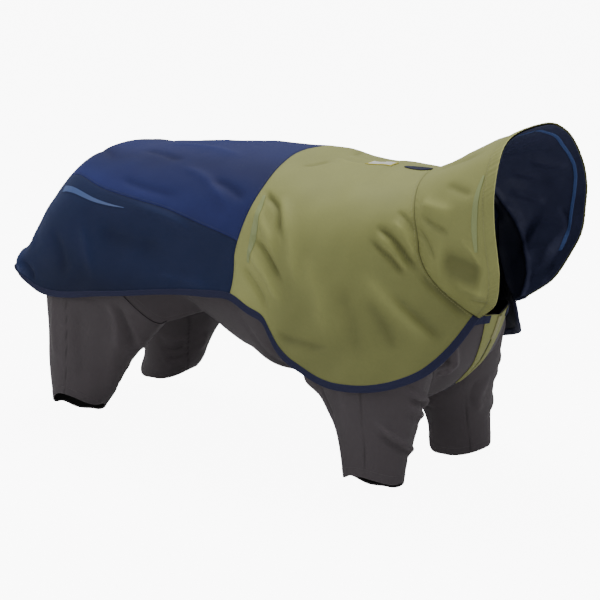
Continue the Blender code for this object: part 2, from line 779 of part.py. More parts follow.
def flank_row():
    """Last row of the belly: the arched edge, then up the rear leg's top ring."""
    centre = np.array((BELLY_CENTRE_END[0] * MM, 0.0, BELLY_CENTRE_END[1] * MM))
    corner = leg_edge(REAR_LEG_ROWS, 0.0, 1, RING_GAP)
    points = []
    half = BODY_COLS // 2
    for j in range(half + 1):
        t = j / half
        p = centre + (corner - centre) * t
        p[0] += ARCH_BOW * MM * math.sin(math.pi * t)
        p[2] = centre[2] + (corner[2] - centre[2]) * t * t
        points.append(p)
    for j in range(1, BODY_COLS - half + 1):
        angle = FLANK_ANGLE * j / (BODY_COLS - half)
        points.append(leg_edge(REAR_LEG_ROWS, angle, 1, RING_GAP))
    return np.array(points)


def body_grid():
    grid = []
    for i, (centre, edge) in enumerate(zip(CENTRES, EDGES)):
        square = min(max((i - len(CHEST_ROWS) + 1.5) / 2.0, 0.0), 1.0)
        grid.append([body_cross(centre, edge, j / BODY_COLS, square, neckline_lift(i))
                     for j in range(BODY_COLS + 1)])
    grid.append(flank_row())
    return np.array(grid)


BODY = body_grid()
BODY_NORMALS = grid_normals(BODY)
if BODY_NORMALS[3][0][0] < 0.0:
    BODY_NORMALS = -BODY_NORMALS
for i, normal in enumerate(EDGE_NORMALS):
    BODY_NORMALS[i][BODY_COLS] = normal
for j in range(BODY_COLS // 2, BODY_COLS + 1):
    angle = FLANK_ANGLE * (j - BODY_COLS // 2) / (BODY_COLS - BODY_COLS // 2)
    BODY_NORMALS[-1][j] = leg_normal(REAR_LEG_ROWS, 0.0, angle, 1)
BODY_NORMALS[:, 0, 1] = 0.0
BODY_NORMALS = unit(BODY_NORMALS)


def mirror_y(grid):
    return grid * np.array((1.0, -1.0, 1.0))


def build_chest(name, side):
    outer = BODY[:CHEST_END + 1].copy()
    normals = BODY_NORMALS[:CHEST_END + 1].copy()
    # The centre edge stands back from the zip.
    for i in range(CHEST_END + 1):
        ratio = (0.5 * ZIP_WIDTH + GAP) / max(outer[i][1][1], 1e-6)
        outer[i][0] = outer[i][0] + (outer[i][1] - outer[i][0]) * ratio
    along_rows = unit(outer[CHEST_END] - outer[CHEST_END - 1])
    outer[CHEST_END] = outer[CHEST_END] - along_rows * 0.5 * GAP
    inner = outer - normals * SUIT_WALL
    if side < 0:
        outer = mirror_y(outer)
        inner = mirror_y(inner)
    wall_solid(name, outer, inner, SUIT_GREY, rough=STRETCH_ROUGH)


def build_belly():
    outer = BODY[CHEST_END:].copy()
    normals = BODY_NORMALS[CHEST_END:].copy()
    along_rows = unit(BODY[CHEST_END] - BODY[CHEST_END - 1])
    outer[0] = outer[0] + along_rows * 0.5 * GAP
    inner = outer - normals * SUIT_WALL
    full_outer = np.concatenate((mirror_y(outer)[:, :0:-1], outer), axis=1)
    full_inner = np.concatenate((mirror_y(inner)[:, :0:-1], inner), axis=1)
    wall_solid("belly", full_outer, full_inner, SUIT_GREY, rough=STRETCH_ROUGH)


build_chest("chest_right", -1)
build_chest("chest_left", 1)
build_belly()

# ---- placket, zip and tabs -----------------------------------------------------------------
CENTRE_ROWS = np.array(CENTRES)
EDGE_ROWS = np.array(EDGES)


def chest_at(row, y):
    """Outer face of the left chest at a row and a distance from the centre line."""
    centre = spline_rows(CENTRE_ROWS, row)
    edge = spline_rows(EDGE_ROWS, row)
    low, high = 0.0, 1.0
    for _ in range(30):
        mid = 0.5 * (low + high)
        if body_cross(centre, edge, mid, 0.0, neckline_lift(row))[1] < y:
            low = mid
        else:
            high = mid
    return body_cross(centre, edge, 0.5 * (low + high), 0.0, neckline_lift(row))


def chest_normal(row, y):
    a = chest_at(row + 0.1, y) - chest_at(max(row - 0.1, 0.0), y)
    b = chest_at(row, y + 0.5 * MM) - chest_at(row, max(y - 0.5 * MM, 0.0))
    normal = unit(np.cross(a, b))
    return normal if normal[0] > 0.0 else -normal


def chest_strip(name, places, colour, wall, side):
    """Solid on the chest from a grid of (row, distance) places; side mirrors it."""
    outer = []
    inner = []
    for row in places:
        points = [chest_at(r, y) for r, y in row]
        normals = [chest_normal(r, y) for r, y in row]
        outer.append([p + n * (GAP + wall) for p, n in zip(points, normals)])
        inner.append([p + n * GAP for p, n in zip(points, normals)])
    outer = np.array(outer)
    inner = np.array(inner)
    if side < 0:
        outer = mirror_y(outer)
        inner = mirror_y(inner)
    wall_solid(name, outer, inner, colour)


def build_zip():
    rows = [CHEST_END * k / ZIP_STEPS for k in range(ZIP_STEPS + 1)]
    rows[-1] -= ZIP_END
    outer = []
    inner = []
    for row in rows:
        half = [chest_at(row, y) for y in (0.0, 0.5 * ZIP_WIDTH)]
        normals = [chest_normal(row, 1.0 * MM), chest_normal(row, 0.5 * ZIP_WIDTH)]
        normals[0] = unit(normals[0] * np.array((1.0, 0.0, 1.0)))
        points = [half[1] * np.array((1.0, -1.0, 1.0)), half[0], half[1]]
        turned = [normals[1] * np.array((1.0, -1.0, 1.0)), normals[0], normals[1]]
        outer.append(points)
        inner.append([p - n * SUIT_WALL for p, n in zip(points, turned)])
    wall_solid("zip_strip", np.array(outer), np.array(inner), BINDING_NAVY)


def build_placket(name, side):
    places = []
    for k in range(PLACKET_STEPS + 1):
        row = k / PLACKET_STEPS * (len(PLACKET_ROWS) - 1)
        step, half = spline_rows(PLACKET_ROWS, row)
        width = half * MM - PLACKET_INNER
        places.append([(step, PLACKET_INNER + width * t) for t in (0.0, 0.5, 1.0)])
    chest_strip(name, places, OLIVE, PLACKET_WALL, side)


def build_tab(name, side):
    """Navy tab where the hem binding ends at the top of the placket."""
    places = [[(row, y * MM) for y in TAB_PLACES] for row in TAB_ROWS]
    chest_strip(name, places, BINDING_NAVY, TAB_WALL, side)


build_zip()
build_placket("placket_right", -1)
build_placket("placket_left", 1)
build_tab("neck_tab_right", -1)
build_tab("neck_tab_left", 1)

# ---- slivers, welt and label -----------------------------------------------------------------
POINT_SHARE = 0.25          # width of a leaf shape's ends against its middle
POINT_START = 0.06          # how far along its half circle a leaf shape begins


def long_taper(f):
    """From full width to a tenth of it."""
    return 1.0 - 0.9 * f


def leaf_taper(f):
    """Pointed at both ends."""
    arc = math.sin(math.pi * (POINT_START + (1.0 - 2.0 * POINT_START) * f))
    return POINT_SHARE + (1.0 - POINT_SHARE) * arc


def even_width(f):
    return 1.0


def both_sides(stem, point_at, normal_at, path, half_width, taper, colour, count):
    for word, side in (("right", -1.0), ("left", 1.0)):
        turned = [(a, side * b) for a, b in path]
        surface_strip(stem + "_" + word, point_at, normal_at, turned, half_width,
                      taper, colour, count=count)


# paths: places (row or way, place across) that each strip's middle runs through
REAR_SLIVER = ((3.5, 0.440), (4.45, 0.495), (5.25, 0.534), (5.92, 0.562))
SHOULDER_SLIVER = ((9.30, 0.48), (9.63, 0.59), (9.79, 0.68), (9.75, 0.78))
HOOD_SLIVER = ((0.88, 0.34), (0.80, 0.49), (0.78, 0.60))
WELT = ((17.9, 0.0), (19.3, 0.0), (20.7, 0.0))
LABEL = ((14.0, 0.0), (15.4, 0.0), (16.8, 0.0))
REAR_SLIVER_HALF = 4.5 * MM
SHOULDER_SLIVER_HALF = 3.0 * MM
HOOD_SLIVER_HALF = 3.2 * MM
WELT_HALF = 7.0 * MM
WELT_WALL = 1.6 * MM
LABEL_HALF = 11.0 * MM
both_sides("sliver_rear", coat_point, coat_normal, REAR_SLIVER, REAR_SLIVER_HALF,
           long_taper, PALE_BLUE, 8)
both_sides("sliver_shoulder", coat_point, coat_normal, SHOULDER_SLIVER,
           SHOULDER_SLIVER_HALF, leaf_taper, PALE_GREEN, 9)
both_sides("sliver_hood", hood_point, hood_normal, HOOD_SLIVER, HOOD_SLIVER_HALF,
           leaf_taper, PALE_GREEN, 9)
surface_strip("leash_welt", coat_point, coat_normal, WELT, WELT_HALF, leaf_taper,
              BINDING_NAVY, wall=WELT_WALL, rough=CLOTH_ROUGH)
surface_strip("spine_label", coat_point, coat_normal, LABEL, LABEL_HALF, even_width,
              LABEL_WHITE, count=4, rough=CLOTH_ROUGH)
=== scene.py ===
# A dog's rain suit: a hooded shell coat in navy and olive, sewn over a stretch body suit
# with four open legs. Metres, +X to the wearer's head, +Y to its left, +Z up.
import math
import bmesh
import bpy
import numpy as np
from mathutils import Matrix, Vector


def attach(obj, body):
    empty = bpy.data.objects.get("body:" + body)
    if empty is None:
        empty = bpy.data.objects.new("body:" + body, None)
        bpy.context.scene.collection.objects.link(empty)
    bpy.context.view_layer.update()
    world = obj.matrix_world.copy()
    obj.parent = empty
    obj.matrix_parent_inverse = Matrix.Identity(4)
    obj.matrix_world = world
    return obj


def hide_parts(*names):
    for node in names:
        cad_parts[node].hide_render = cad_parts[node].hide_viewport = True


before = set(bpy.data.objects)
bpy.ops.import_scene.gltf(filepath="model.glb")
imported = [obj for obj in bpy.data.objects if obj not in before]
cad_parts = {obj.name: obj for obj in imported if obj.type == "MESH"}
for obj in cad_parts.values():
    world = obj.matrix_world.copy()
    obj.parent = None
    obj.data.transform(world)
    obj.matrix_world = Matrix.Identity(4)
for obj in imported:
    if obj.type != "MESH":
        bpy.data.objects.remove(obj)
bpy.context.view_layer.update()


# ==== Coat back ========================================================================
# One piece of light navy softshell over the spine and the rump, cut nose to tail. It is
# sewn to the yoke in front and to the darker side panels below; the hem behind is bound.
MM = 0.001
COAT_COLUMNS = ("top_x", "top_z", "side_x", "side_y", "side_z",
                "hem_x", "hem_y", "hem_z", "bow", "round", "seam")
COAT_ROWS = (               # sections from the rear hem to the neck seam, millimetres
    (-473, -164, -464, 98.0, -165, -456, 101.0, -171.0, 0, 0.6, 0.23),
    (-459, -137, -440, 109.0, -157, -430, 116.0, -175.5, 0, 0.65, 0.25),
    (-434, -96, -407, 115.0, -141, -393, 126.0, -183.0, 0, 0.7, 0.29),
    (-404, -45, -377, 120.0, -121, -350, 131.0, -180.0, 0, 0.6, 0.33),
    (-365, -13, -345, 124.0, -108, -303, 133.0, -171.0, 0, 0.4, 0.385),
    (-320, -10, -302, 127.0, -102, -255, 134.0, -163.0, 0, 0.2, 0.455),
    (-270, -4, -255, 129.0, -98, -212, 134.0, -155.0, 0, 0.0, 0.515),
    (-210, 1, -200, 131.0, -95, -172, 134.5, -149.0, 0, 0.0, 0.58),
    (-150, 5, -147, 133.0, -94, -137, 135.0, -146.0, 6, 0.0, 0.66),
    (-90, 8, -95, 134.5, -94, -104, 135.5, -144.0, 14, 0.0, 0.72),
    (-68, 7.5, -70, 136.0, -102, -77, 137.0, -155.0, 8, 0.0, 0.72),
    (-50, 4.5, -52, 137.0, -106, -56, 138.0, -162.0, 4, 0.0, 0.72),
    (-36, 2.5, -36, 137.5, -109, -45, 138.5, -178.0, 0, 0.0, 0.72),
    (-22, 1, -20, 138.0, -111, -33, 139.0, -194.0, 0, 0.0, 0.72),
    (-8, 0, -3, 138.0, -112, -10, 139.0, -208.0, 0, 0.0, 0.72),
    (6, 0.5, 16, 137.0, -112, 28, 138.5, -221.0, 0, 0.0, 0.72),
    (20, 2, 36, 134.0, -109, 67, 137.0, -221.0, 0, 0.0, 0.72),
    (34, 1, 56, 128.0, -103, 103, 131.0, -213.5, 0, 0.0, 0.72),
    (48, 1, 74, 117.0, -94, 131, 113.0, -202.0, 0, 0.0, 0.72),
    (60, 1, 90, 105.0, -82, 144, 92.0, -190.0, 0, 0.0, 0.72),
    (70, 1, 103, 96.0, -71, 154, 68.0, -172.0, 0, 0.0, 0.72),
    (78, 2, 115, 88.0, -60, 164, 41.0, -145.0, 0, 0.0, 0.72),
)
YOKE_ROW = 9.0
NECK_ROW = 21.0
FULLNESS = 0.83             # squareness of the coat's sections, 1 is an ellipse
SHELL_WALL = 1.6 * MM       # softshell with its lining
SEAM_LINE = 0.7 * MM        # half width of a seam's dark line
SKIN_ROWS = 421             # fineness of the tables that the surfaces are read from
SKIN_PLACES = 201
UPPER_STEPS = 33            # points of a section above the coat's widest place
DROP_STEPS = 17             # and below it


def unit(vectors):
    return vectors / np.maximum(np.linalg.norm(vectors, axis=-1, keepdims=True), 1e-12)


def smooth_step(x):
    x = np.clip(x, 0.0, 1.0)
    return x * x * (3.0 - 2.0 * x)


def smooth_rows(rows, at):
    """Smooth reading of a table at float row numbers, one or many at a time."""
    rows = np.asarray(rows, float)
    last = len(rows) - 1
    at = np.clip(np.asarray(at, float), 0.0, last)
    i = np.minimum(at.astype(int), last - 1)
    t = (at - i).reshape(at.shape + (1,) * (rows.ndim - 1))
    ends = (2 * rows[:1] - rows[1:2], rows, 2 * rows[-1:] - rows[-2:-1])
    p0, p1, p2, p3 = (np.concatenate(ends)[i + k] for k in range(4))
    bend = 2 * p0 - 5 * p1 + 4 * p2 - p3
    return p1 + 0.5 * t * (p2 - p0 + t * (bend + t * (3 * (p1 - p2) + p3 - p0)))


def run_length(line):
    """Distance of each point of a polyline from its start."""
    steps = np.linalg.norm(np.diff(line, axis=0), axis=-1)
    return np.concatenate((np.zeros_like(steps[:1]), np.cumsum(steps, axis=0)))


def read_line(values, run, at):
    """Values along a line, read at distances from its start."""
    return np.stack([np.interp(at, run, column) for column in values.T], axis=-1)


def even_points(line, count):
    """A polyline read again at even distances."""
    run = run_length(line)
    return read_line(line, run, np.linspace(0.0, run[-1], count))


def coat_sections(u):
    """Half sections of the coat at rows u, from the spine to the hem."""
    row = dict(zip(COAT_COLUMNS, smooth_rows(COAT_ROWS, u).T[..., None]))
    share = np.linspace(0.0, 1.0, UPPER_STEPS)
    out = np.sin(0.5 * np.pi * share) ** FULLNESS
    up = np.cos(0.5 * np.pi * share).clip(0.0) ** FULLNESS
    swing = row["round"] * (1.0 - up) + (1.0 - row["round"]) * share
    x = row["top_x"] + (row["side_x"] - row["top_x"]) * swing
    x = x + row["bow"] * np.sin(np.pi * share)
    z = row["side_z"] + (row["top_z"] - row["side_z"]) * up
    upper = np.stack((x, row["side_y"] * out, z), axis=-1)
    drop = np.linspace(0.0, 1.0, DROP_STEPS)[1:]
    x = row["side_x"] + (row["hem_x"] - row["side_x"]) * drop ** 2
    y = row["side_y"] + (row["hem_y"] - row["side_y"]) * drop ** 2
    z = row["side_z"] + (row["hem_z"] - row["side_z"]) * drop
    return np.concatenate((upper, np.stack((x, y, z), axis=-1)), axis=1) * MM


def facings(table):
    """Unit normals of a table of points."""
    return unit(np.cross(np.gradient(table, axis=0), np.gradient(table, axis=1)))


def read_table(table, a, b):
    """Reads a table of points or normals at fractions a and b of its two sides."""
    a = np.clip(a, 0.0, 1.0) * (table.shape[0] - 1)
    b = np.clip(b, 0.0, 1.0) * (table.shape[1] - 1)
    i = np.minimum(a.astype(int), table.shape[0] - 2)
    j = np.minimum(b.astype(int), table.shape[1] - 2)
    p = (a - i)[..., None]
    q = (b - j)[..., None]
    near = table[i, j] * (1 - p) + table[i + 1, j] * p
    far = table[i, j + 1] * (1 - p) + table[i + 1, j + 1] * p
    return near * (1 - q) + far * q


def on_side(points, v):
    """Turns points of the left half to the right where v is below 0."""
    turn = np.where(np.asarray(v) < 0.0, -1.0, 1.0)
    return points * np.stack((np.ones_like(turn), turn, np.ones_like(turn)), axis=-1)


ALL_ROWS = np.linspace(0.0, NECK_ROW, SKIN_ROWS)
COAT_SKIN = np.array([even_points(line, SKIN_PLACES) for line in coat_sections(ALL_ROWS)])
COAT_FACING = facings(COAT_SKIN)
SECTION_LENGTH = run_length(COAT_SKIN.transpose(1, 0, 2))[-1]

# The hood's surface is made here too, because coat and hood share their seam and folds.
RIM_ROWS = (                # face opening from crown to chin: x, y, z, bulge, millimetres
    (202, 0.0, 63, -2.0),
    (202, 32.0, 61.5, 0.0),
    (202, 57.5, 55, 3.0),
    (206, 82.0, 39, 7.0),
    (211, 101.0, 9, 9.0),
    (214, 105.0, -15, 9.0),
    (215, 103.0, -37, 8.0),
    (215.5, 97.0, -62, 6.0),
    (212, 86.5, -83, 4.0),
    (197.5, 66.0, -118, 1.5),
    (170.5, 47.5, -141.5, 0.0),
)
RIM_READ = smooth_rows(RIM_ROWS, np.linspace(0.0, len(RIM_ROWS) - 1, SKIN_PLACES))
RIM_LINE = even_points(RIM_READ[:, :3] * MM, SKIN_PLACES)
HOOD_WAY = np.linspace(0.0, 1.0, 61)[:, None, None]
HOOD_SKIN = COAT_SKIN[-1] * (1.0 - HOOD_WAY) + RIM_LINE * HOOD_WAY
HOOD_BULGE = 4.0 * HOOD_WAY * (1.0 - HOOD_WAY) * RIM_READ[:, 3:] * MM
HOOD_SKIN = HOOD_SKIN + facings(HOOD_SKIN) * HOOD_BULGE
HOOD_FACING = facings(HOOD_SKIN)
HOOD_LENGTH = np.linalg.norm(RIM_LINE - COAT_SKIN[-1], axis=1)

# Both surfaces turn to one shared direction at the neck seam.
NECK_BLEND = 18.0 * MM
NECK_FACING = unit(COAT_FACING[-1] + HOOD_FACING[0])
NECK_NEAR = np.clip(1.0 - (NECK_ROW - ALL_ROWS), 0.0, 1.0)[:, None, None]
COAT_FACING = unit(COAT_FACING * (1.0 - NECK_NEAR) + NECK_FACING * NECK_NEAR)
HOOD_NEAR = np.clip(1.0 - HOOD_WAY[..., 0] * HOOD_LENGTH / NECK_BLEND, 0.0, 1.0)[..., None]
HOOD_FACING = unit(HOOD_FACING * (1.0 - HOOD_NEAR) + NECK_FACING * HOOD_NEAR)

# Sharp corners take the facing of the cloth beside them.
CALM_ROW = 0.4              # the coat's rear corners
CALM_SHARE = 0.86
CHIN_SHARE = 0.94           # the hood's chin


def coat_at(u, v):
    """Place and facing on the coat: row u, v is -1 right hem, 0 spine, 1 left hem."""
    u = np.asarray(u, float)
    side = np.abs(v)
    point = read_table(COAT_SKIN, u / NECK_ROW, side)
    calm = np.maximum(u, CALM_ROW)
    edge = np.minimum(CALM_SHARE + (1.0 - CALM_SHARE) * calm, 1.0)
    facing = read_table(COAT_FACING, calm / NECK_ROW, np.minimum(side, edge))
    return on_side(point, v), on_side(facing, v)


def hood_at(w, v):
    """Place and facing on the hood: w is 0 at the neck seam and 1 at the face edge."""
    side = np.abs(v)
    point = read_table(HOOD_SKIN, np.asarray(w, float), side)
    facing = read_table(HOOD_FACING, np.asarray(w, float), np.minimum(side, CHIN_SHARE))
    return on_side(point, v), on_side(facing, v)


# Folds: row and share at three places on the way, then half width and height in
# millimetres; below 0 it is a trough.
BACK_FOLDS = (
    (5.2, 0.12, 6.1, 0.21, 7.0, 0.30, 8.1, -2.4),
    (5.5, 0.03, 6.9, 0.10, 8.2, 0.24, 9.9, 2.4),
    (5.4, 0.40, 6.3, 0.47, 7.4, 0.54, 8.1, -2.1),
    (7.8, 0.42, 8.3, 0.47, 8.8, 0.54, 7.2, -2.7),
    (6.9, 0.33, 7.7, 0.42, 8.7, 0.62, 8.1, 2.1),
    (3.2, 0.10, 4.2, 0.18, 5.0, 0.29, 9.0, -1.5),
    (1.0, 0.05, 2.0, 0.09, 3.1, 0.10, 9.9, 1.7),
)
SIDE_FOLDS = (
    (1.2, 0.60, 0.9, 0.75, 0.7, 0.92, 10.8, 3.6),
    (0.9, 0.45, 0.5, 0.59, 0.15, 0.74, 5.4, -3.0),
    (1.0, 0.80, 1.5, 0.86, 1.6, 0.94, 5.4, -2.7),
    (3.2, 0.42, 2.1, 0.55, 1.6, 0.74, 11.7, 2.4),
    (6.0, 0.54, 7.1, 0.62, 7.9, 0.70, 8.1, 2.5),
    (6.5, 0.88, 7.5, 0.92, 8.4, 0.95, 7.2, 2.2),
    (5.0, 0.66, 6.0, 0.71, 7.2, 0.78, 18.0, -3.0),
    (3.0, 0.62, 3.4, 0.76, 3.2, 0.90, 13.5, -2.1),
    (4.4, 0.60, 4.6, 0.74, 4.4, 0.90, 11.7, 1.8),
)
SHOULDER_FOLDS = (
    (9.0, 0.452, 11.0, 0.502, 12.4, 0.60, 5.5, -5.2),
    (10.6, 0.43, 12.8, 0.53, 14.0, 0.72, 12.0, 3.2),
    (9.2, 0.53, 10.4, 0.60, 12.3, 0.665, 8.0, 3.4),
    (9.7, 0.655, 11.1, 0.70, 12.7, 0.74, 5.0, -4.8),
    (9.5, 0.71, 10.9, 0.775, 12.8, 0.83, 8.0, 3.8),
    (9.2, 0.81, 10.3, 0.86, 11.5, 0.94, 6.0, -3.6),
    (12.3, 0.95, 13.9, 0.90, 15.6, 0.84, 7.0, -2.4),
    (18.3, 0.40, 19.5, 0.48, 20.9, 0.675, 4.2, -5.2),
    (17.9, 0.44, 19.0, 0.53, 20.0, 0.64, 4.2, -4.4),
    (18.3, 0.425, 19.3, 0.52, 20.3, 0.63, 4.5, 3.2),
    (19.3, 0.38, 20.4, 0.49, 20.9, 0.60, 6.0, 3.8),
    (19.6, 0.345, 20.5, 0.42, 21.0, 0.50, 3.8, -2.6),
    (20.6, 0.62, 20.9, 0.80, 20.85, 0.98, 4.4, -4.2),
    (17.6, 0.55, 18.8, 0.71, 19.6, 0.93, 12.0, 3.6),
    (18.9, 0.65, 19.6, 0.80, 19.9, 0.95, 7.5, -2.8),
    (17.7, 0.64, 18.1, 0.77, 18.0, 0.88, 10.0, -2.5),
    (10.4, 0.24, 11.2, 0.165, 11.8, 0.07, 4.5, -1.8),
    (11.4, 0.03, 13.0, 0.05, 14.8, 0.03, 6.0, 1.4),
    (14.2, 0.55, 15.2, 0.68, 15.4, 0.84, 16.0, 2.2),
    (16.3, 0.60, 16.8, 0.74, 16.6, 0.90, 14.0, -1.8),
)
HOOD_FOLDS = (
    (0.12, 0.36, 0.35, 0.41, 0.62, 0.45, 9.0, 2.8),
    (0.10, 0.42, 0.30, 0.475, 0.50, 0.52, 6.0, -3.2),
    (0.24, 0.62, 0.50, 0.67, 0.78, 0.73, 33.0, -8.5),
    (0.62, 0.54, 0.74, 0.60, 0.80, 0.68, 6.0, 2.6),
    (0.30, 0.73, 0.55, 0.78, 0.85, 0.81, 10.0, 2.6),
    (0.02, 0.46, 0.14, 0.53, 0.24, 0.62, 6.0, -3.0),
    (0.44, 0.33, 0.63, 0.375, 0.82, 0.41, 8.0, -2.4),
    (0.40, 0.85, 0.62, 0.86, 0.95, 0.88, 7.0, -2.0),
    (0.18, 0.16, 0.45, 0.20, 0.80, 0.22, 11.0, -2.0),
    (0.30, 0.05, 0.60, 0.07, 0.90, 0.09, 11.0, 1.8),
)
CREST_POINTS = 25
FOLD_REACH = 2.6            # a fold fades out this many half widths away
FOLD_FADE = 0.28            # share of its length in which it rises and sinks
LEFT_SHIFT = (0.22, -0.015)     # the folds of the hidden side start a little elsewhere
HOOD_LEFT_SHIFT = (0.04, 0.01)
LEFT_SHARE = 0.85               # and are a little flatter
SETTLED_DEPTH = 0.35 * MM
SHADE_DEPTH = 6.0 * MM      # a trough this deep lies in full shade
FULL_SHADE = 0.9


def fold_way(fold, shift):
    """The two coordinates of many places along a fold."""
    ways = smooth_rows(np.reshape(fold[:6], (3, 2)), np.linspace(0.0, 2.0, CREST_POINTS))
    return (ways + shift).T


def crest(place_at, fold, side=-1.0, shift=(0.0, 0.0), share=1.0):
    """A fold's crest as points in space, with its half width and height in metres."""
    rows, across = fold_way(fold, shift)
    line = place_at(rows, np.clip(across, 0.0, 1.0) * side)[0]
    return line, fold[6] * MM, fold[7] * share * MM


def crests_both(place_at, folds, shift):
    found = [crest(place_at, fold) for fold in folds]
    return found + [crest(place_at, fold, 1.0, shift, LEFT_SHARE) for fold in folds]


def fold_relief(points, crests):
    """Height of all folds at each point: soft bells across, faded at both ends."""
    flat = points.reshape(-1, 3)
    total = np.zeros(len(flat))
    for line, half_width, height in crests:
        reach = FOLD_REACH * half_width
        inside = np.all((flat > line.min(0) - reach) & (flat < line.max(0) + reach), axis=1)
        near = flat[inside]
        if not len(near):
            continue
        start = line[:-1]
        step = line[1:] - start
        along = np.einsum("nmk,mk->nm", near[:, None] - start, step)
        along = np.clip(along / np.sum(step * step, axis=1), 0.0, 1.0)
        away = np.linalg.norm(near[:, None] - start - along[..., None] * step, axis=2)
        best = np.argmin(away, axis=1)
        pick = np.arange(len(near))
        share = (best + along[pick, best]) / (len(line) - 1)
        ends = smooth_step(share / FOLD_FADE) * smooth_step((1.0 - share) / FOLD_FADE)
        off = away[pick, best] / half_width
        bell = 0.65 * np.exp(-1.5 * off ** 2) + 0.35 * np.exp(-5.0 * off ** 2)
        total[inside] += height * ends * bell
    return total.reshape(points.shape[:-1])


def settled(points, depth):
    """The slow, uneven waviness that cloth has everywhere, in metres."""
    x, y, z = np.moveaxis(points / MM, -1, 0)
    wave = np.sin(x / 13.0 + 1.7 * np.sin(z / 21.0)) * np.sin(y / 17.0 + z / 29.0 + 0.6)
    wave = wave + 0.7 * np.sin(x / 7.3 - z / 9.1 + 1.3) * np.sin(y / 11.0 + x / 23.0 + 2.1)
    return depth * wave


COAT_CRESTS = (crests_both(coat_at, BACK_FOLDS + SIDE_FOLDS + SHOULDER_FOLDS, LEFT_SHIFT)
               + crests_both(hood_at, HOOD_FOLDS, HOOD_LEFT_SHIFT))


def seam_dip(distance, depth=0.6 * MM, half_width=2.0 * MM):
    """Cloth pulled in along a seam."""
    return -depth * np.exp(-(distance / half_width) ** 2)


def seam_mark(*distances):
    """How much of a thin seam line shows at each point, 0 to 1."""
    return np.minimum(sum(np.exp(-(away / SEAM_LINE) ** 2) for away in distances), 1.0)


def to_side(across):
    """Distance of each point from the nearer side of its sheet."""
    return np.minimum(across, across[:, -1:] - across)


def to_edge(across, along):
    """Distance of each point from the nearest of its sheet's four edges."""
    return np.minimum(to_side(across), to_side(along.T).T)


def fold_shade(relief):
    """Less light reaches the troughs and more the ridges, as a mark that goes with seams."""
    return FULL_SHADE * np.clip(-relief / SHADE_DEPTH, -0.6, 1.0)


def edge_steps(count):
    """Even steps from 0 to 1 with one more close to each end, where seams and edges lie."""
    even = np.linspace(0.0, 1.0, count - 1)
    near = 0.3 * even[1]
    return np.concatenate((even[:1], [near], even[1:-1], [1.0 - near], even[-1:]))


def seam_pucker(distance, run, depth, pitch, reach, slant=0.0):
    """Small uneven gathers beside a seam, leaning by slant."""
    phase = (run + slant * distance) / pitch
    phase = phase + 0.35 * np.sin(0.37 * phase + 1.1) + 0.2 * np.sin(1.31 * phase)
    strength = 0.7 + 0.3 * np.sin(0.173 * phase + 0.4)
    bell = np.exp(-(distance / reach) ** 2) - np.exp(-(distance / (0.25 * reach)) ** 2)
    return depth * strength * np.sin(2.0 * np.pi * phase) * bell


def mesh_object(name, bm, finishes):
    """Turns a finished bmesh into an object of the scene."""
    mesh = bpy.data.meshes.new(name)
    bm.to_mesh(mesh)
    bm.free()
    for finish in finishes:
        mesh.materials.append(finish)
    item = bpy.data.objects.new(name, mesh)
    bpy.context.scene.collection.objects.link(item)
    return item


SIDES = (("right", -1.0), ("left", 1.0))
SHEETS = {}                 # each finished cloth's grid of points, for what is sewn on it


def cloth_sheet(name, columns, rows, skin, relief, wall, finishes, inside, hem=None, tube=False):
    """A sheet of cloth: an even grid whose points are laid on a surface.

    skin(s, t) gives places and facings, s across and t along, 0 to 1. relief gives the
    height of each point and its mark, by which the colour is darker above 0 and lighter
    below it: seam lines, and painted shade and painted highlight on folds, panels and
    edges. hem adds rows that turn an edge over."""
    s, t = np.meshgrid(edge_steps(columns), edge_steps(rows))
    points, facing = skin(s, t)
    across = run_length(points.transpose(1, 0, 2)).T
    along = run_length(points)
    height, mark = relief(s, t, points, across, along)
    points = points + facing * height[..., None]
    SHEETS[name] = (points, facing, across, along)
    if hem:
        points, mark = hem(points, facing, mark)
    layers = len(points) - 1
    bm = bmesh.new()
    bmesh.ops.create_grid(bm, x_segments=columns, y_segments=layers, size=0.5)
    # The seam attribute holds seam lines, print borders, and painted shade and painted highlight.
    mark_layer = bm.verts.layers.float.new("seam")
    metres = bm.loops.layers.uv.new("metres")
    middle = points[:, columns // 2]
    width = run_length(points.transpose(1, 0, 2)).T
    width = width - width[:, columns // 2:columns // 2 + 1]
    length = run_length(middle)
    for vert in bm.verts:
        i = round((vert.co.y + 0.5) * layers)
        j = round((vert.co.x + 0.5) * columns)
        vert.index = i * (columns + 1) + j
        vert.co = points[i, j]
        vert[mark_layer] = mark[i, j]
    for face in bm.faces:
        face.smooth = True
        for loop in face.loops:
            i, j = divmod(loop.vert.index, columns + 1)
            loop[metres].uv = (width[i, j], length[i])
    if tube:
        bmesh.ops.remove_doubles(bm, verts=bm.verts, dist=0.01 * MM)
    bm.normal_update()
    centre = Vector(inside)
    facing_out = sum(f.calc_area() * f.normal.dot(f.calc_center_median() - centre)
                     for f in bm.faces)
    if facing_out < 0.0:
        bmesh.ops.reverse_faces(bm, faces=bm.faces)
    item = mesh_object(name, bm, finishes)
    solid = item.modifiers.new("wall", "SOLIDIFY")
    solid.thickness = wall
    solid.offset = -1.0
    solid.material_offset = len(finishes) - 1
    solid.material_offset_rim = len(finishes) - 1
    return item


def new_group(name, inputs, outputs):
    """Empty shader node group with named sockets: (name, kind, value)."""
    group = bpy.data.node_groups.new(name, "ShaderNodeTree")
    for label, kind, value in inputs:
        socket = group.interface.new_socket(label, in_out="INPUT", socket_type=kind)
        socket.default_value = value
    for label, kind in outputs:
        group.interface.new_socket(label, in_out="OUTPUT", socket_type=kind)
    start = group.nodes.new("NodeGroupInput")
    end = group.nodes.new("NodeGroupOutput")
    return group, start.outputs, end.inputs


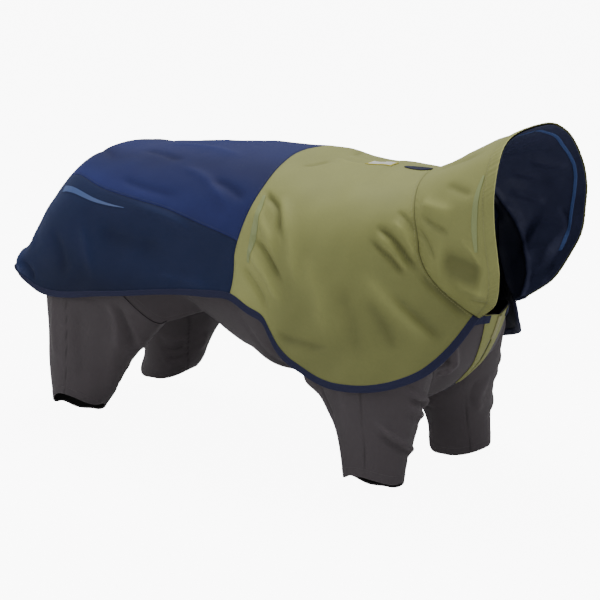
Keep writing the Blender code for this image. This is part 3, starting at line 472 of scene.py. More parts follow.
def add_node(tree, kind, settings=None, **inputs):
    """One node, with its settings, and its inputs given as values or sockets."""
    node = tree.nodes.new(kind)
    for key, value in (settings or {}).items():
        setattr(node, key, value)
    for key, value in inputs.items():
        socket = node.inputs[int(key[1:]) if key[1:].isdigit() else key.replace("_", " ")]
        if isinstance(value, bpy.types.NodeSocket):
            tree.links.new(value, socket)
        else:
            socket.default_value = value
    return node


def add_math(tree, operation, a, b, c=0.0):
    return add_node(tree, "ShaderNodeMath", {"operation": operation}, _0=a, _1=b, _2=c).outputs[0]


def make_weave():
    """Plain weave from the cloth's own metres: threads over and under, and slubs."""
    group, given, result = new_group(
        "plain_weave",
        [("Pitch", "NodeSocketFloat", 0.0007), ("Slub", "NodeSocketFloat", 0.3)],
        [("Height", "NodeSocketFloat"), ("Tone", "NodeSocketFloat")])
    place = add_node(group, "ShaderNodeUVMap", {"uv_map": "metres"}).outputs[0]
    axes = add_node(group, "ShaderNodeSeparateXYZ", _0=place).outputs
    turn = add_math(group, "DIVIDE", 2.0 * math.pi, given["Pitch"])
    warp = add_math(group, "SINE", add_math(group, "MULTIPLY", axes[0], turn), 0.0)
    weft = add_math(group, "SINE", add_math(group, "MULTIPLY", axes[1], turn), 0.0)
    cross = add_math(group, "MULTIPLY", warp, weft)
    noise = add_node(group, "ShaderNodeTexNoise", Vector=place, Scale=900.0, Detail=2.0)
    lumps = add_math(group, "MULTIPLY", noise.outputs[0], given["Slub"])
    half = add_math(group, "MULTIPLY_ADD", cross, 0.5, 0.5)
    group.links.new(add_math(group, "ADD", half, lumps), result["Height"])
    group.links.new(half, result["Tone"])
    return group


def make_tone_and_shade():
    """Uneven dye, broad light and dark places and fine mottling, and the sheet's own marks: seam
    lines, and painted shade and painted highlight.
    """
    group, given, result = new_group(
        "cloth_tone_and_shade",
        [("Colour", "NodeSocketColor", (0.5, 0.5, 0.5, 1.0)),
         ("Broad", "NodeSocketFloat", 0.12), ("Fine", "NodeSocketFloat", 0.08),
         ("Seam", "NodeSocketFloat", 0.6)],
        [("Colour", "NodeSocketColor"), ("Uneven", "NodeSocketFloat")])
    place = add_node(group, "ShaderNodeTexCoord").outputs["Object"]
    broad = add_node(group, "ShaderNodeTexNoise", Vector=place, Scale=11.0, Detail=2.0)
    fine = add_node(group, "ShaderNodeTexNoise", Vector=place, Scale=420.0, Detail=3.0)
    shift = add_math(group, "SUBTRACT", broad.outputs[0], 0.5)
    speck = add_math(group, "SUBTRACT", fine.outputs[0], 0.5)
    light = add_math(group, "MULTIPLY", shift, given["Broad"])
    light = add_math(group, "ADD", light, add_math(group, "MULTIPLY", speck, given["Fine"]))
    light = add_math(group, "ADD", light, 1.0)
    mark = add_node(group, "ShaderNodeAttribute", {"attribute_name": "seam"}).outputs["Fac"]
    shade = add_math(group, "MULTIPLY", mark, given["Seam"])
    light = add_math(group, "MULTIPLY", light, add_math(group, "SUBTRACT", 1.0, shade))
    mix = add_node(group, "ShaderNodeVectorMath", {"operation": "SCALE"}, _0=given["Colour"],
                   Scale=light)
    group.links.new(mix.outputs[0], result["Colour"])
    group.links.new(shift, result["Uneven"])
    return group


WEAVE = make_weave()
TONE_AND_SHADE = make_tone_and_shade()


def new_finish(name):
    """A new finish with its node tree and its shader."""
    finish = bpy.data.materials.new(name)
    finish.use_nodes = True
    return finish, finish.node_tree, finish.node_tree.nodes["Principled BSDF"]


def cloth_finish(name, colour, pitch, rough, sheen, bump, broad=0.14, fine=0.10, seam=0.45,
                 tint=(1.0, 1.0, 1.0)):
    """Woven cloth: dyed colour, thread relief and a soft sheen. seam sets how far the sheet's
    marks, its seam lines and its painted shade and highlight, change the colour.
    """
    finish, tree, shader = new_finish(name)
    tone = add_node(tree, "ShaderNodeGroup", {"node_tree": TONE_AND_SHADE, "name": "tone"},
                    Colour=(*colour, 1.0), Broad=broad, Fine=fine, Seam=seam)
    weave = add_node(tree, "ShaderNodeGroup", {"node_tree": WEAVE}, Pitch=pitch)
    shaded = add_math(tree, "MULTIPLY_ADD", weave.outputs["Tone"], 0.10, 0.95)
    dyed = add_node(tree, "ShaderNodeVectorMath", {"operation": "SCALE"},
                    _0=tone.outputs["Colour"], Scale=shaded)
    tree.links.new(dyed.outputs[0], shader.inputs["Base Color"])
    gloss = add_math(tree, "MULTIPLY_ADD", tone.outputs["Uneven"], 0.25, rough)
    tree.links.new(gloss, shader.inputs["Roughness"])
    relief = add_node(tree, "ShaderNodeBump", Strength=bump, Distance=0.0002,
                      Height=weave.outputs["Height"])
    tree.links.new(relief.outputs[0], shader.inputs["Normal"])
    for key, value in (("Sheen Weight", sheen), ("Sheen Roughness", 0.45),
                       ("Sheen Tint", (*tint, 1.0)), ("Specular IOR Level", 0.16)):
        shader.inputs[key].default_value = value
    return finish


SHELL_NAVY = cloth_finish("shell_navy", (0.017, 0.024, 0.106), 0.0008, 0.66, 0.05, 0.35,
                          tint=(0.55, 0.60, 1.0))
INSIDE_NAVY = cloth_finish("inside_navy", (0.015, 0.019, 0.045), 0.0009, 0.55, 0.05, 0.25)
COAT_INSIDE = (-0.15, 0.0, -0.13)
SEAM_PLACE = COAT_COLUMNS.index("seam")
UNDER_BINDING = 0.09        # row where the cloth starts, under the tape of the rear hem
PANEL_PUCKER = (0.35 * MM, 9.0 * MM, 6.0 * MM)      # depth, pitch and reach of the gathers
BACK_DARK = 0.6             # shade of the band half way from the spine to the seam
BACK_LIGHT = 0.5            # and light beside the seam


def seam_place(u):
    return smooth_rows(COAT_ROWS, u)[..., SEAM_PLACE]


def section_length(u):
    return np.interp(u, ALL_ROWS, SECTION_LENGTH)


def back_skin(s, t):
    u = UNDER_BINDING + (YOKE_ROW - UNDER_BINDING) * t
    return coat_at(u, seam_place(u) * (2.0 * s - 1.0))


def coat_relief(points):
    return fold_relief(points, COAT_CRESTS) + settled(points, SETTLED_DEPTH)


def back_relief(s, t, points, across, along):
    side = to_side(across)
    front = along[-1:] - along
    folds = coat_relief(points)
    height = folds + seam_dip(side) + seam_dip(front)
    height = height + seam_pucker(side, along, *PANEL_PUCKER)
    off = np.abs(2.0 * s - 1.0)
    shade = BACK_DARK * np.exp(-((off - 0.5) / 0.2) ** 2)
    shade = shade - BACK_LIGHT * smooth_step((off - 0.75) / 0.2)
    return height, seam_mark(side, front) + fold_shade(folds) + shade


coat_back = cloth_sheet("coat_back_cloth", 96, 150, back_skin, back_relief, SHELL_WALL,
                        (SHELL_NAVY, INSIDE_NAVY), COAT_INSIDE)
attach(coat_back, "root")
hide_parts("coat_back")


# ==== Coat sides =======================================================================
# Two darker navy side panels between the back seam and the bound hem, mirror cuts of one
# pattern. They hang free behind the ribs and fold softly over the hips.
SIDE_NAVY = cloth_finish("side_navy", (0.0125, 0.021, 0.066), 0.0008, 0.66, 0.06, 0.35,
                         tint=(0.6, 0.7, 1.0))
UNDER_TAPE = 3.0 * MM       # how far a panel stops short of the hem's fold
RUMP_LIGHT = 3.4            # the panel catches more light where it turns over the rump
RUMP_REACH = 52.0 * MM      # down from the back seam
RUMP_LENGTH = 220.0 * MM    # forward from the rear hem
CORNER_REACH = 26.0 * MM
CORNER_LIGHT = 0.7          # share of that light at the rear corner
LOW_DARK = 0.9              # shade of the panel's lower part
LOW_FROM = 70.0 * MM        # down from the back seam
LOW_REACH = 80.0 * MM


def side_skin(side):
    def skin(s, t):
        u = UNDER_BINDING + (YOKE_ROW - UNDER_BINDING) * t
        low = 1.0 - UNDER_TAPE / section_length(u)
        top = seam_place(u)
        return coat_at(u, side * (top + (low - top) * s))
    return skin


def side_relief(s, t, points, across, along):
    front = along[-1:] - along
    folds = coat_relief(points)
    height = folds + seam_dip(across) + seam_dip(front)
    height = height + seam_pucker(across, along, *PANEL_PUCKER)
    rump = np.exp(-(across / RUMP_REACH) ** 2) * smooth_step((RUMP_LENGTH - along) / RUMP_LENGTH)
    light = np.maximum(rump, CORNER_LIGHT * np.exp(-(along / CORNER_REACH) ** 2))
    shade = LOW_DARK * smooth_step((across - LOW_FROM) / LOW_REACH) - RUMP_LIGHT * light
    return height, seam_mark(across, front) + fold_shade(folds) + shade


for word, side in SIDES:
    panel = cloth_sheet("coat_side_" + word + "_cloth", 70, 130, side_skin(side), side_relief,
                        SHELL_WALL, (SIDE_NAVY, INSIDE_NAVY), COAT_INSIDE)
    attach(panel, "root")
    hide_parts("coat_side_" + word)


# ==== Coat shoulder ====================================================================
# The olive yoke, one piece over the withers and both shoulders from the yoke seam to the
# neck seam. It carries the coat's deepest folds, which run from the neck to the shoulder.
OLIVE = cloth_finish("shell_olive", (0.284, 0.290, 0.104), 0.0008, 0.60, 0.06, 0.35,
                     tint=(1.0, 1.0, 0.8))
NECK_PUCKER = (0.75 * MM, 8.5 * MM, 6.0 * MM, 0.8)
YOKE_LIGHT = 0.7            # light low on the yoke, beside its seam
YOKE_SWING = 1.3            # from that light to the shade low in front
YOKE_SHARE = 0.4            # way forward in which one turns into the other


def shoulder_skin(s, t):
    u = YOKE_ROW + (NECK_ROW - YOKE_ROW) * t
    low = 1.0 - UNDER_TAPE / section_length(u)
    return coat_at(u, low * (2.0 * s - 1.0))


def shoulder_relief(s, t, points, across, along):
    neck = along[-1:] - along
    folds = coat_relief(points)
    height = folds + seam_dip(along) + seam_dip(neck)
    height = height + seam_pucker(neck, across, *NECK_PUCKER)
    low = smooth_step((np.abs(2.0 * s - 1.0) - 0.3) / 0.6)
    shade = YOKE_SWING * smooth_step(t / YOKE_SHARE) - YOKE_LIGHT
    return height, seam_mark(along, neck) + fold_shade(folds) + low * shade


shoulder = cloth_sheet("coat_shoulder_cloth", 330, 96, shoulder_skin, shoulder_relief,
                       SHELL_WALL, (OLIVE, INSIDE_NAVY), (0.0, 0.0, -0.12))
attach(shoulder, "root")
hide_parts("coat_shoulder")


# ==== Hood =============================================================================
# Olive outside, navy lining: a wide open cone gathered into the neck seam, with a turned
# and stitched hem round the face. A pale blue tape covers the lining's seam.
LINING_NAVY = cloth_finish("lining_navy", (0.036, 0.041, 0.084), 0.0007, 0.50, 0.06, 0.25,
                           seam=0.82, tint=(0.5, 0.6, 1.0))
HOOD_WALL = 0.9 * MM
HOOD_LOW = 0.995            # where the hood's two chin edges lie
RIM_FOLD = 0.6 * MM         # radius of the turned edge
RIM_FACING = 2.0 * MM       # cloth turned inside
EDGE_SHEEN = -2.4           # a turned edge catches the light: a seam mark the other way
EDGE_SHADE = 1.0            # and its inner half lies in shade
HEM_BAND = 12.0 * MM        # from the edge to the stitching
BAND_RISE = 0.45 * MM       # the band is double cloth
HOOD_PUCKER = (1.0 * MM, 7.5 * MM, 7.0 * MM, 0.9)
BAND_PUCKER = (0.60 * MM, 5.8 * MM)     # depth and pitch of the band's slanted gathers
HOOD_INSIDE = (0.16, 0.0, -0.04)


def hood_skin(s, t):
    return hood_at(t, HOOD_LOW * (2.0 * s - 1.0))


def hood_relief(s, t, points, across, along):
    rim = along[-1:] - along
    folds = coat_relief(points)
    height = folds + seam_dip(along)
    height = height + seam_pucker(along, across, *HOOD_PUCKER)
    band = smooth_step((HEM_BAND - rim) / (1.5 * MM) + 0.5)
    height = height + BAND_RISE * band + seam_dip(rim - HEM_BAND, 0.5 * MM, 1.2 * MM)
    gathers = np.exp(-((rim - 0.45 * HEM_BAND) / (0.55 * HEM_BAND)) ** 4)
    ripple = seam_pucker(np.ones_like(rim), across + 0.9 * rim, *BAND_PUCKER, 1.6)
    height = height + ripple * gathers
    sewn = 0.35 * np.exp(-((rim - HEM_BAND) / (0.9 * MM)) ** 2)
    return height, seam_mark(along) + sewn + fold_shade(folds)


def turned_edge(radius, facing_length, turns=5, share=None):
    """Rows that fold the last row of a sheet over its edge and back inside."""
    def hem(points, facing, mark):
        out = unit(points[-1] - points[-2])
        out = unit(out - facing[-1] * np.sum(out * facing[-1], axis=-1, keepdims=True))
        size = radius if share is None else radius * share[:, None]
        length = facing_length if share is None else facing_length * share[:, None]
        rows = [points[-1] + out * size * math.sin(math.pi * k / turns)
                - facing[-1] * size * (1.0 - math.cos(math.pi * k / turns))
                for k in range(1, turns + 1)]
        rows.append(rows[-1] - out * 0.5 * length)
        rows.append(rows[-2] - out * length)
        marks = np.zeros((len(rows), mark.shape[1]))
        marks[:turns // 2] = EDGE_SHEEN
        marks[turns // 2:] = EDGE_SHADE
        return np.concatenate((points, np.array(rows))), np.concatenate((mark, marks))
    return hem


hood = cloth_sheet("hood_cloth", 460, 52, hood_skin, hood_relief, HOOD_WALL,
                   (OLIVE, LINING_NAVY), HOOD_INSIDE, hem=turned_edge(RIM_FOLD, RIM_FACING))
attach(hood, "root")
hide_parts("hood_outer")

LINING_WALL = 0.7 * MM
LINING_DEPTH = 2.3 * MM     # the lining's outer face below the hood's outer face
LINING_LOW = 0.985          # where its chin edges lie
LINING_SHORT = 0.3 * MM     # it stops just short of the hood's edge
LINING_FOLDS = (
    (0.15, 0.20, 0.45, 0.27, 0.75, 0.30, 10.0, -2.2),
    (0.20, 0.34, 0.50, 0.42, 0.80, 0.44, 9.0, 2.0),
    (0.25, 0.55, 0.55, 0.58, 0.85, 0.62, 10.0, -2.0),
    (0.20, 0.72, 0.50, 0.70, 0.80, 0.74, 9.0, 1.6),
)
LINING_CRESTS = crests_both(hood_at, LINING_FOLDS, (0.03, 0.02))
COLLAR_WAY = (              # share and distance from the neck seam of the lining's bound seam
    (0.0, 4.0), (0.40, 5.0), (0.48, 8.5), (0.535, 13.5), (0.585, 20.0), (0.64, 25.0),
    (0.70, 27.5), (0.77, 28.0), (0.85, 25.0), (0.92, 18.5), (1.0, 9.0))
COLLAR_ROLL = 2.6 * MM      # half width of the bound seam's roll
COLLAR_RISE = 2.2 * MM      # and how far it stands in


def hood_length(v):
    """Way from the neck seam to the face edge."""
    return np.interp(np.abs(v), np.linspace(0.0, 1.0, SKIN_PLACES), HOOD_LENGTH)


def lining_skin(s, t):
    v = LINING_LOW * (2.0 * s - 1.0)
    return hood_at((1.0 - LINING_SHORT / hood_length(v)) * t, v)


def lining_relief(s, t, points, across, along):
    rim = along[-1:] - along
    calm = smooth_step(along / (8.0 * MM)) * smooth_step(rim / (10.0 * MM))
    height = coat_relief(points) - LINING_DEPTH
    height = height - np.maximum(fold_relief(points, LINING_CRESTS) * calm, -1.2 * MM)
    share, way = np.array(COLLAR_WAY).T
    beyond = along - np.interp(np.abs(2.0 * s - 1.0), share, way) * MM
    roll = np.exp(-(beyond / COLLAR_ROLL) ** 2)
    shade = smooth_step(0.5 - (beyond + 0.6 * COLLAR_ROLL) / (1.6 * MM))
    return height - COLLAR_RISE * roll, shade


lining = cloth_sheet("hood_lining_cloth", 300, 90, lining_skin, lining_relief, LINING_WALL,
                     (LINING_NAVY,), HOOD_INSIDE)
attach(lining, "root")
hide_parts("hood_lining")

TAPE_BLUE = cloth_finish("tape_blue", (0.070, 0.115, 0.290), 0.0006, 0.38, 0.0, 0.15, fine=0.05)
TAPE_HALF = 2.3 * MM
TAPE_WALL = 0.3 * MM
TAPE_PROUD = 0.35 * MM      # it stands this far in from the lining's inner face
TAPE_WAY = (                # share and distance of the tape from the face edge, millimetres
    (0.0, 13.0), (0.17, 16.5), (0.235, 13.5), (0.30, 14.5), (0.35, 12.2), (0.40, 10.6),
    (0.455, 11.8), (0.50, 14.3), (0.55, 16.2), (0.60, 16.7), (0.69, 16.2), (0.74, 15.2))
TAPE_REACH = TAPE_WAY[-1][0]


def tape_skin(s, t):
    v = TAPE_REACH * (2.0 * t - 1.0)
    share, way = np.array(TAPE_WAY).T
    rim = np.interp(np.abs(v), share, way) * MM - TAPE_HALF * (1.0 - 2.0 * s)
    return hood_at(1.0 - rim / hood_length(v), v)


def tape_relief(s, t, points, across, along):
    return coat_relief(points) - LINING_DEPTH - LINING_WALL - TAPE_PROUD, np.zeros_like(s)


tape = cloth_sheet("hood_tape_strip", 4, 220, tape_skin, tape_relief, TAPE_WALL, (TAPE_BLUE,),
                   HOOD_INSIDE)
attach(tape, "root")
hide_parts("hood_tape")


# ==== Hem binding ======================================================================
# Navy tape folded over the coat's raw edge all the way round, eased round the two rear
# corners, and stitched through near its inner edge.
BINDING_WIDTH = 8.0 * MM
BINDING_WALL = 0.4 * MM
BINDING_RIPPLE = (0.2 * MM, 6.5 * MM)       # depth and pitch
CORNER_ROW = 0.24           # where the tape's inner edge turns the rear corner
HEM_STEPS = 190             # places along each side, round each corner and behind
CORNER_STEPS = 8
TAIL_STEPS = 48
TAIL_ROW = 0.3              # row that gives the cloth's slope behind
BINDING_NAVY = cloth_finish("binding_navy", (0.022, 0.024, 0.060), 0.0011, 0.68, 0.06, 0.6,
                            tint=(0.6, 0.7, 1.0))


def hem_path():
    """Places (row, across) of the hem's edge and of the tape's inner edge."""
    step = BINDING_WIDTH / section_length(0.0)
    corner_v = 1.0 - step
    rows = np.linspace(NECK_ROW, CORNER_ROW, HEM_STEPS)
    edge = [(u, 1.0) for u in rows]
    inset = [(u, 1.0 - BINDING_WIDTH / section_length(u)) for u in rows]
    for k in range(1, CORNER_STEPS):
        turn = 0.5 * math.pi * k / CORNER_STEPS
        edge.append((CORNER_ROW * (1.0 - math.sin(turn)), corner_v + step * math.cos(turn)))
        inset.append((CORNER_ROW, corner_v))
    for v in np.linspace(corner_v, 0.0, TAIL_STEPS):
        edge.append((0.0, v))
        rise = np.linalg.norm(coat_at(TAIL_ROW, v)[0] - coat_at(0.0, v)[0]) / TAIL_ROW
        inset.append((BINDING_WIDTH / rise, v))
    far_edge = [(u, -v) for u, v in reversed(edge[:-1])]
    far_inset = [(u, -v) for u, v in reversed(inset[:-1])]
    return np.array(edge + far_edge), np.array(inset + far_inset)


HEM_EDGE, HEM_INSET = hem_path()
HEM_RUN = run_length(coat_at(HEM_EDGE[:, 0], HEM_EDGE[:, 1])[0])
BINDING_PROFILE = np.array((    # distance from the edge and height of the tape, millimetres
    (8.0, 0.35), (7.6, 0.75), (6.4, 0.95), (4.8, 0.80), (3.0, 1.05), (1.2, 1.00),
    (-0.2, 0.55), (-0.9, -0.35), (-0.9, -1.20), (-0.2, -2.00), (1.2, -2.45),
    (3.0, -2.50), (4.8, -2.40), (6.4, -2.40), (8.0, -2.10)))


def binding_skin(s, t):
    run = t * HEM_RUN[-1]
    edge = read_line(HEM_EDGE, HEM_RUN, run)
    inset = read_line(HEM_INSET, HEM_RUN, run)
    foot, facing = coat_at(edge[..., 0], edge[..., 1])
    head = coat_at(inset[..., 0], inset[..., 1])[0]
    profile = smooth_rows(BINDING_PROFILE, s * (len(BINDING_PROFILE) - 1))
    share = profile[..., :1] * MM / BINDING_WIDTH
    base = foot * (1.0 - share) + head * share
    height = profile[..., 1:] * MM + coat_relief(base)[..., None]
    return base + facing * height, facing


def binding_relief(s, t, points, across, along):
    outer = np.exp(-((s - 0.18) / 0.16) ** 2)
    ripple = seam_pucker(np.ones_like(along), along, *BINDING_RIPPLE, 1.6)
    return ripple * outer, np.zeros_like(s)


binding = cloth_sheet("hem_binding_tape", 22, 560, binding_skin, binding_relief, BINDING_WALL,
                      (BINDING_NAVY,), COAT_INSIDE)
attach(binding, "root")
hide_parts("coat_binding")


# ==== Front legs =======================================================================
# Open tubes of dark grey stretch cloth, each with one flat seam down its outer side and
# one inside. The cuffs are hemmed; the cloth bunches in front of the legs.
LEG_COLUMNS = ("mid_x", "mid_y", "half_x", "half_y",
               "front_z", "rear_z", "outer_z", "inner_z")
FRONT_LEG_ROWS = (          # rings from the top to the cuff, millimetres
    (48, 78, 78, 46, -199, -245, -144, -271),
    (54.5, 81, 65.5, 46, -226, -255, -186, -280),
    (58.5, 85, 55, 42, -253, -269, -226, -291),
    (62.5, 89, 45, 37, -280, -287, -264, -306),
    (65, 93, 38.5, 33, -307, -315, -294, -330),
    (66.5, 95.5, 35, 31, -330, -336, -320, -351),
)
FRONT_LEFT_CUFF = (65.5, 95.5, 38, 31, -342, -342, -326, -351)      # it hangs a little lower
LEG_RINGS = len(FRONT_LEG_ROWS) - 1
CUFF_SAG = 5.0 * MM         # the rear inner quarter of a cuff hangs lower than an ellipse
CUFF_HEM = 10.0 * MM
HEM_RISE = 0.25 * MM        # a hem is double cloth
SUIT_WALL = 0.8 * MM
SUIT_SEAT = 3.4 * MM        # from the coat's outer face to the suit under it
COAT_LOWER = COAT_SKIN[60::8, 80:]      # some of the coat's rows, below its widest place
RING_STEPS = 101
TURN_STEPS = 181


def coat_half_width(x, z):
    """Half width of the coat's outer face at places on its side."""
    found = []
    for place_x, place_z in zip(x, z):
        xs = [np.interp(-place_z, -line[:, 2], line[:, 0]) for line in COAT_LOWER]
        ys = [np.interp(-place_z, -line[:, 2], line[:, 1]) for line in COAT_LOWER]
        found.append(np.interp(place_x, xs, ys))
    return np.array(found)


def leg_skin_table(rows):
    """Outer face of a left leg: rings down, turns from 0 front through 90 outside."""
    ring = np.linspace(0.0, LEG_RINGS, RING_STEPS)[:, None]
    turn = np.radians(np.linspace(0.0, 360.0, TURN_STEPS))[None, :]
    row = dict(zip(LEG_COLUMNS, smooth_rows(rows, ring[:, 0]).T[..., None]))
    ahead = np.cos(turn)
    out = np.sin(turn)
    x = (row["mid_x"] + row["half_x"] * ahead) * MM
    y = (row["mid_y"] + row["half_y"] * out) * MM
    z = ahead ** 2 * np.where(ahead > 0, row["front_z"], row["rear_z"])
    z = (z + out ** 2 * np.where(out > 0, row["outer_z"], row["inner_z"])) * MM
    quarter = np.where((out < 0) & (ahead < 0), (2.0 * ahead * out) ** 2, 0.0)
    z = z - CUFF_SAG * (ring / LEG_RINGS) ** 6 * quarter
    under = (ring < 1.0) & (out > 0.0)
    seat = coat_half_width(x[under], z[under]) - SUIT_SEAT
    pull = (out ** 2 * (1.0 - ring))[under]
    y[under] = np.minimum(y[under] + (seat - y[under]) * pull, seat)
    return np.stack((x, y, z), axis=-1)


def leg_at(table, facing_table):
    """Reader of a leg's places and facings; side is -1 right and 1 left."""
    def reader(ring, turn, side=1.0):
        a = np.asarray(ring) / LEG_RINGS
        b = (np.asarray(turn) % 360.0) / 360.0
        side = np.broadcast_to(side, np.shape(b))
        return on_side(read_table(table, a, b), side), on_side(read_table(facing_table, a, b), side)
    return reader


def leg_facings(table):
    wrapped = np.concatenate((table[:, -3:-1], table, table[:, 1:3]), axis=1)
    found = facings(wrapped)[:, 2:-2]
    centre = table.mean(axis=1, keepdims=True)
    return found * np.sign(np.sum(found * (table - centre)))


def leg_readers(rows, left_cuff):
    """Readers of the right leg and of the left one, whose cuff lies differently."""
    found = []
    for ring_rows in (rows, rows[:-1] + (left_cuff,)):
        table = leg_skin_table(ring_rows)
        found.append(leg_at(table, leg_facings(table)))
    return found


front_leg_at, front_left_at = leg_readers(FRONT_LEG_ROWS, FRONT_LEFT_CUFF)

# Folds of a leg: ring and turn at three places, then half width and height, millimetres.
FRONT_OUTER_FOLDS = (
    (2.55, 66.0, 3.0, 22.0, 3.75, -42.0, 5.6, 6.5),
    (3.0, 60.0, 3.3, 25.0, 3.95, -50.0, 4.0, -3.0),
    (0.9, 34.0, 1.15, 5.0, 1.5, -40.0, 5.2, 5.8),
    (1.25, 26.0, 1.45, 0.0, 1.75, -40.0, 3.6, -3.8),
    (1.45, 24.0, 1.75, 0.0, 2.1, -36.0, 4.8, 4.5),
    (1.9, 22.0, 2.15, -2.0, 2.4, -30.0, 4.8, -2.5),
    (0.5, 148.0, 1.5, 143.0, 2.8, 136.0, 4.0, -2.5),
    (1.2, 108.0, 2.2, 104.0, 3.6, 108.0, 11.2, 1.8),
)
FRONT_INNER_FOLDS = (
    (1.6, -10.0, 2.6, -27.0, 3.5, -22.0, 8.0, 2.2),
    (1.2, -30.0, 2.0, -40.0, 3.0, -38.0, 7.0, -1.8),
    (0.8, -95.0, 1.3, -130.0, 1.4, -165.0, 8.0, 2.0),
    (1.6, -80.0, 2.1, -115.0, 2.2, -150.0, 8.0, -1.6),
)


OUTER_SHIFT = (0.12, 38.0)      # what is hidden has its folds elsewhere, and flatter
OUTER_SHARE = 0.5
INNER_SHIFT = (0.15, 0.0)


def leg_crest(reader, fold, side, shift=(0.0, 0.0), share=1.0):
    rings, turns = fold_way(fold, shift)
    return reader(rings, turns, side)[0], fold[6] * MM, fold[7] * share * MM


def leg_crests(reader, outer, inner):
    """Outer folds as seen on the right leg and inner ones as seen on the left."""
    found = [leg_crest(reader, fold, -1.0) for fold in outer]
    found += [leg_crest(reader, fold, 1.0, OUTER_SHIFT, OUTER_SHARE) for fold in outer]
    found += [leg_crest(reader, fold, 1.0) for fold in inner]
    found += [leg_crest(reader, fold, -1.0, INNER_SHIFT, LEFT_SHARE) for fold in inner]
    return found


FRONT_CRESTS = leg_crests(front_leg_at, FRONT_OUTER_FOLDS, FRONT_INNER_FOLDS)
SUIT_GREY = cloth_finish("stretch_grey", (0.080, 0.069, 0.074), 0.0006, 0.72, 0.12, 0.25,
                         tint=(1.0, 0.95, 0.95), seam=0.35)
# The suit's inside face is painted near black: painted shade inside the legs and the body.
SUIT_INSIDE_SHADE = cloth_finish("stretch_inside_shade", (0.012, 0.011, 0.011), 0.0006, 0.85, 0.0, 0.2)
SEAM_RADIUS = 40.0 * MM     # turns an angle round a leg into a distance
SEAM_RIDGE = 2.4 * MM       # from a leg's flat seam to the ridge on each side of it
FRONT_SEAMS = ((80.0, 79.6, 76.0), (-49.0, -48.0, -44.0))       # turns, from top to cuff
REAR_SEAMS = ((110.0, 93.0, 85.6), (-70.0, -45.0, -27.6))


def under_coat(points):
    """The suit gives way where the coat above it is folded in."""
    return np.minimum(fold_relief(points, COAT_CRESTS), 0.0)


def leg_relief(crests, seams, ring, turn, points):
    folds = fold_relief(points, crests)
    height = folds + settled(points, SETTLED_DEPTH) + under_coat(points)
    mark = fold_shade(folds)
    for turns in seams:
        place = smooth_rows(np.reshape(turns, (3, 1)), ring * 2.0 / LEG_RINGS)[..., 0]
        off = (turn - place + 180.0) % 360.0 - 180.0
        distance = np.radians(off) * SEAM_RADIUS
        beside = (np.abs(distance) - SEAM_RIDGE) / (1.4 * MM)
        height = height + seam_dip(distance, 0.45 * MM, 1.2 * MM)
        height = height + 0.25 * MM * np.exp(-beside ** 2)
        mark = mark + seam_mark(distance)
    return height, mark


def leg_piece(reader, crests, seams, side, node):
    def skin(s, t):
        return reader(LEG_RINGS * t, 360.0 * s, side)

    def relief(s, t, points, across, along):
        height, mark = leg_relief(crests, seams, LEG_RINGS * t, 360.0 * s, points)
        cuff = along[-1:] - along
        hem = smooth_step((CUFF_HEM - cuff) / (1.5 * MM) + 0.5)
        return height + seam_dip(along) + HEM_RISE * hem, mark + seam_mark(along)

    front, rear = (reader(np.array(2.0), np.array(turn), side)[0] for turn in (0.0, 180.0))
    item = cloth_sheet(node + "_tube", 132, 74, skin, relief, SUIT_WALL,
                       (SUIT_GREY, SUIT_INSIDE_SHADE), 0.5 * (front + rear),
                       hem=turned_edge(1.0 * MM, 1.5 * MM), tube=True)
    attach(item, "root")
    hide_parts(node)


for word, side, reader in (("right", -1.0, front_leg_at), ("left", 1.0, front_left_at)):
    leg_piece(reader, FRONT_CRESTS, FRONT_SEAMS, side, "leg_front_" + word)


# ==== Rear legs ========================================================================
# The same stretch cloth, cut wide at the hip and tapered to the cuff. They hang from
# under the coat; the seat between them stays open.
REAR_LEG_ROWS = (           # rings from the top to the cuff, millimetres
    (-333, 80, 88, 41, -207, -159, -129, -238),
    (-343, 82, 76, 40, -232, -194, -174, -248),
    (-353, 85, 61, 37, -260, -232, -219, -267),
    (-360.5, 88, 51.5, 34, -286, -266, -257, -290),
    (-364, 90.5, 44, 32, -307, -300, -286, -317),
    (-369, 92, 34, 30, -322, -330, -306, -342),
)
REAR_LEFT_CUFF = (-374, 92, 43, 30, -320, -328, -306, -335)
REAR_OUTER_FOLDS = (
    (0.45, 50.0, 0.95, 34.0, 1.6, 8.0, 7.2, -4.1),
    (0.6, 58.0, 1.1, 44.0, 1.9, 26.0, 6.3, 2.9),
    (1.1, 45.0, 2.5, 24.0, 4.3, -1.0, 12.6, 1.9),
    (0.8, 122.0, 2.1, 122.0, 3.3, 112.0, 8.1, 2.2),
    (1.0, 88.0, 2.4, 74.0, 3.9, 60.0, 13.5, -1.8),
    (0.9, 22.0, 1.2, 2.0, 1.5, -30.0, 5.4, 2.6),
)
REAR_INNER_FOLDS = (
    (2.9, -90.0, 3.05, -63.0, 2.75, -44.0, 5.1, -2.5),
    (3.6, -80.0, 3.5, -53.0, 3.2, -32.0, 5.1, -2.0),
    (2.2, -92.0, 2.3, -66.0, 2.0, -46.0, 6.8, 2.0),
    (2.0, -24.0, 2.6, -12.0, 3.4, -18.0, 6.0, 2.1),
)
rear_leg_at, rear_left_at = leg_readers(REAR_LEG_ROWS, REAR_LEFT_CUFF)
REAR_CRESTS = leg_crests(rear_leg_at, REAR_OUTER_FOLDS, REAR_INNER_FOLDS)

for word, side, reader in (("right", -1.0, rear_leg_at), ("left", 1.0, rear_left_at)):
    leg_piece(reader, REAR_CRESTS, REAR_SEAMS, side, "leg_rear_" + word)


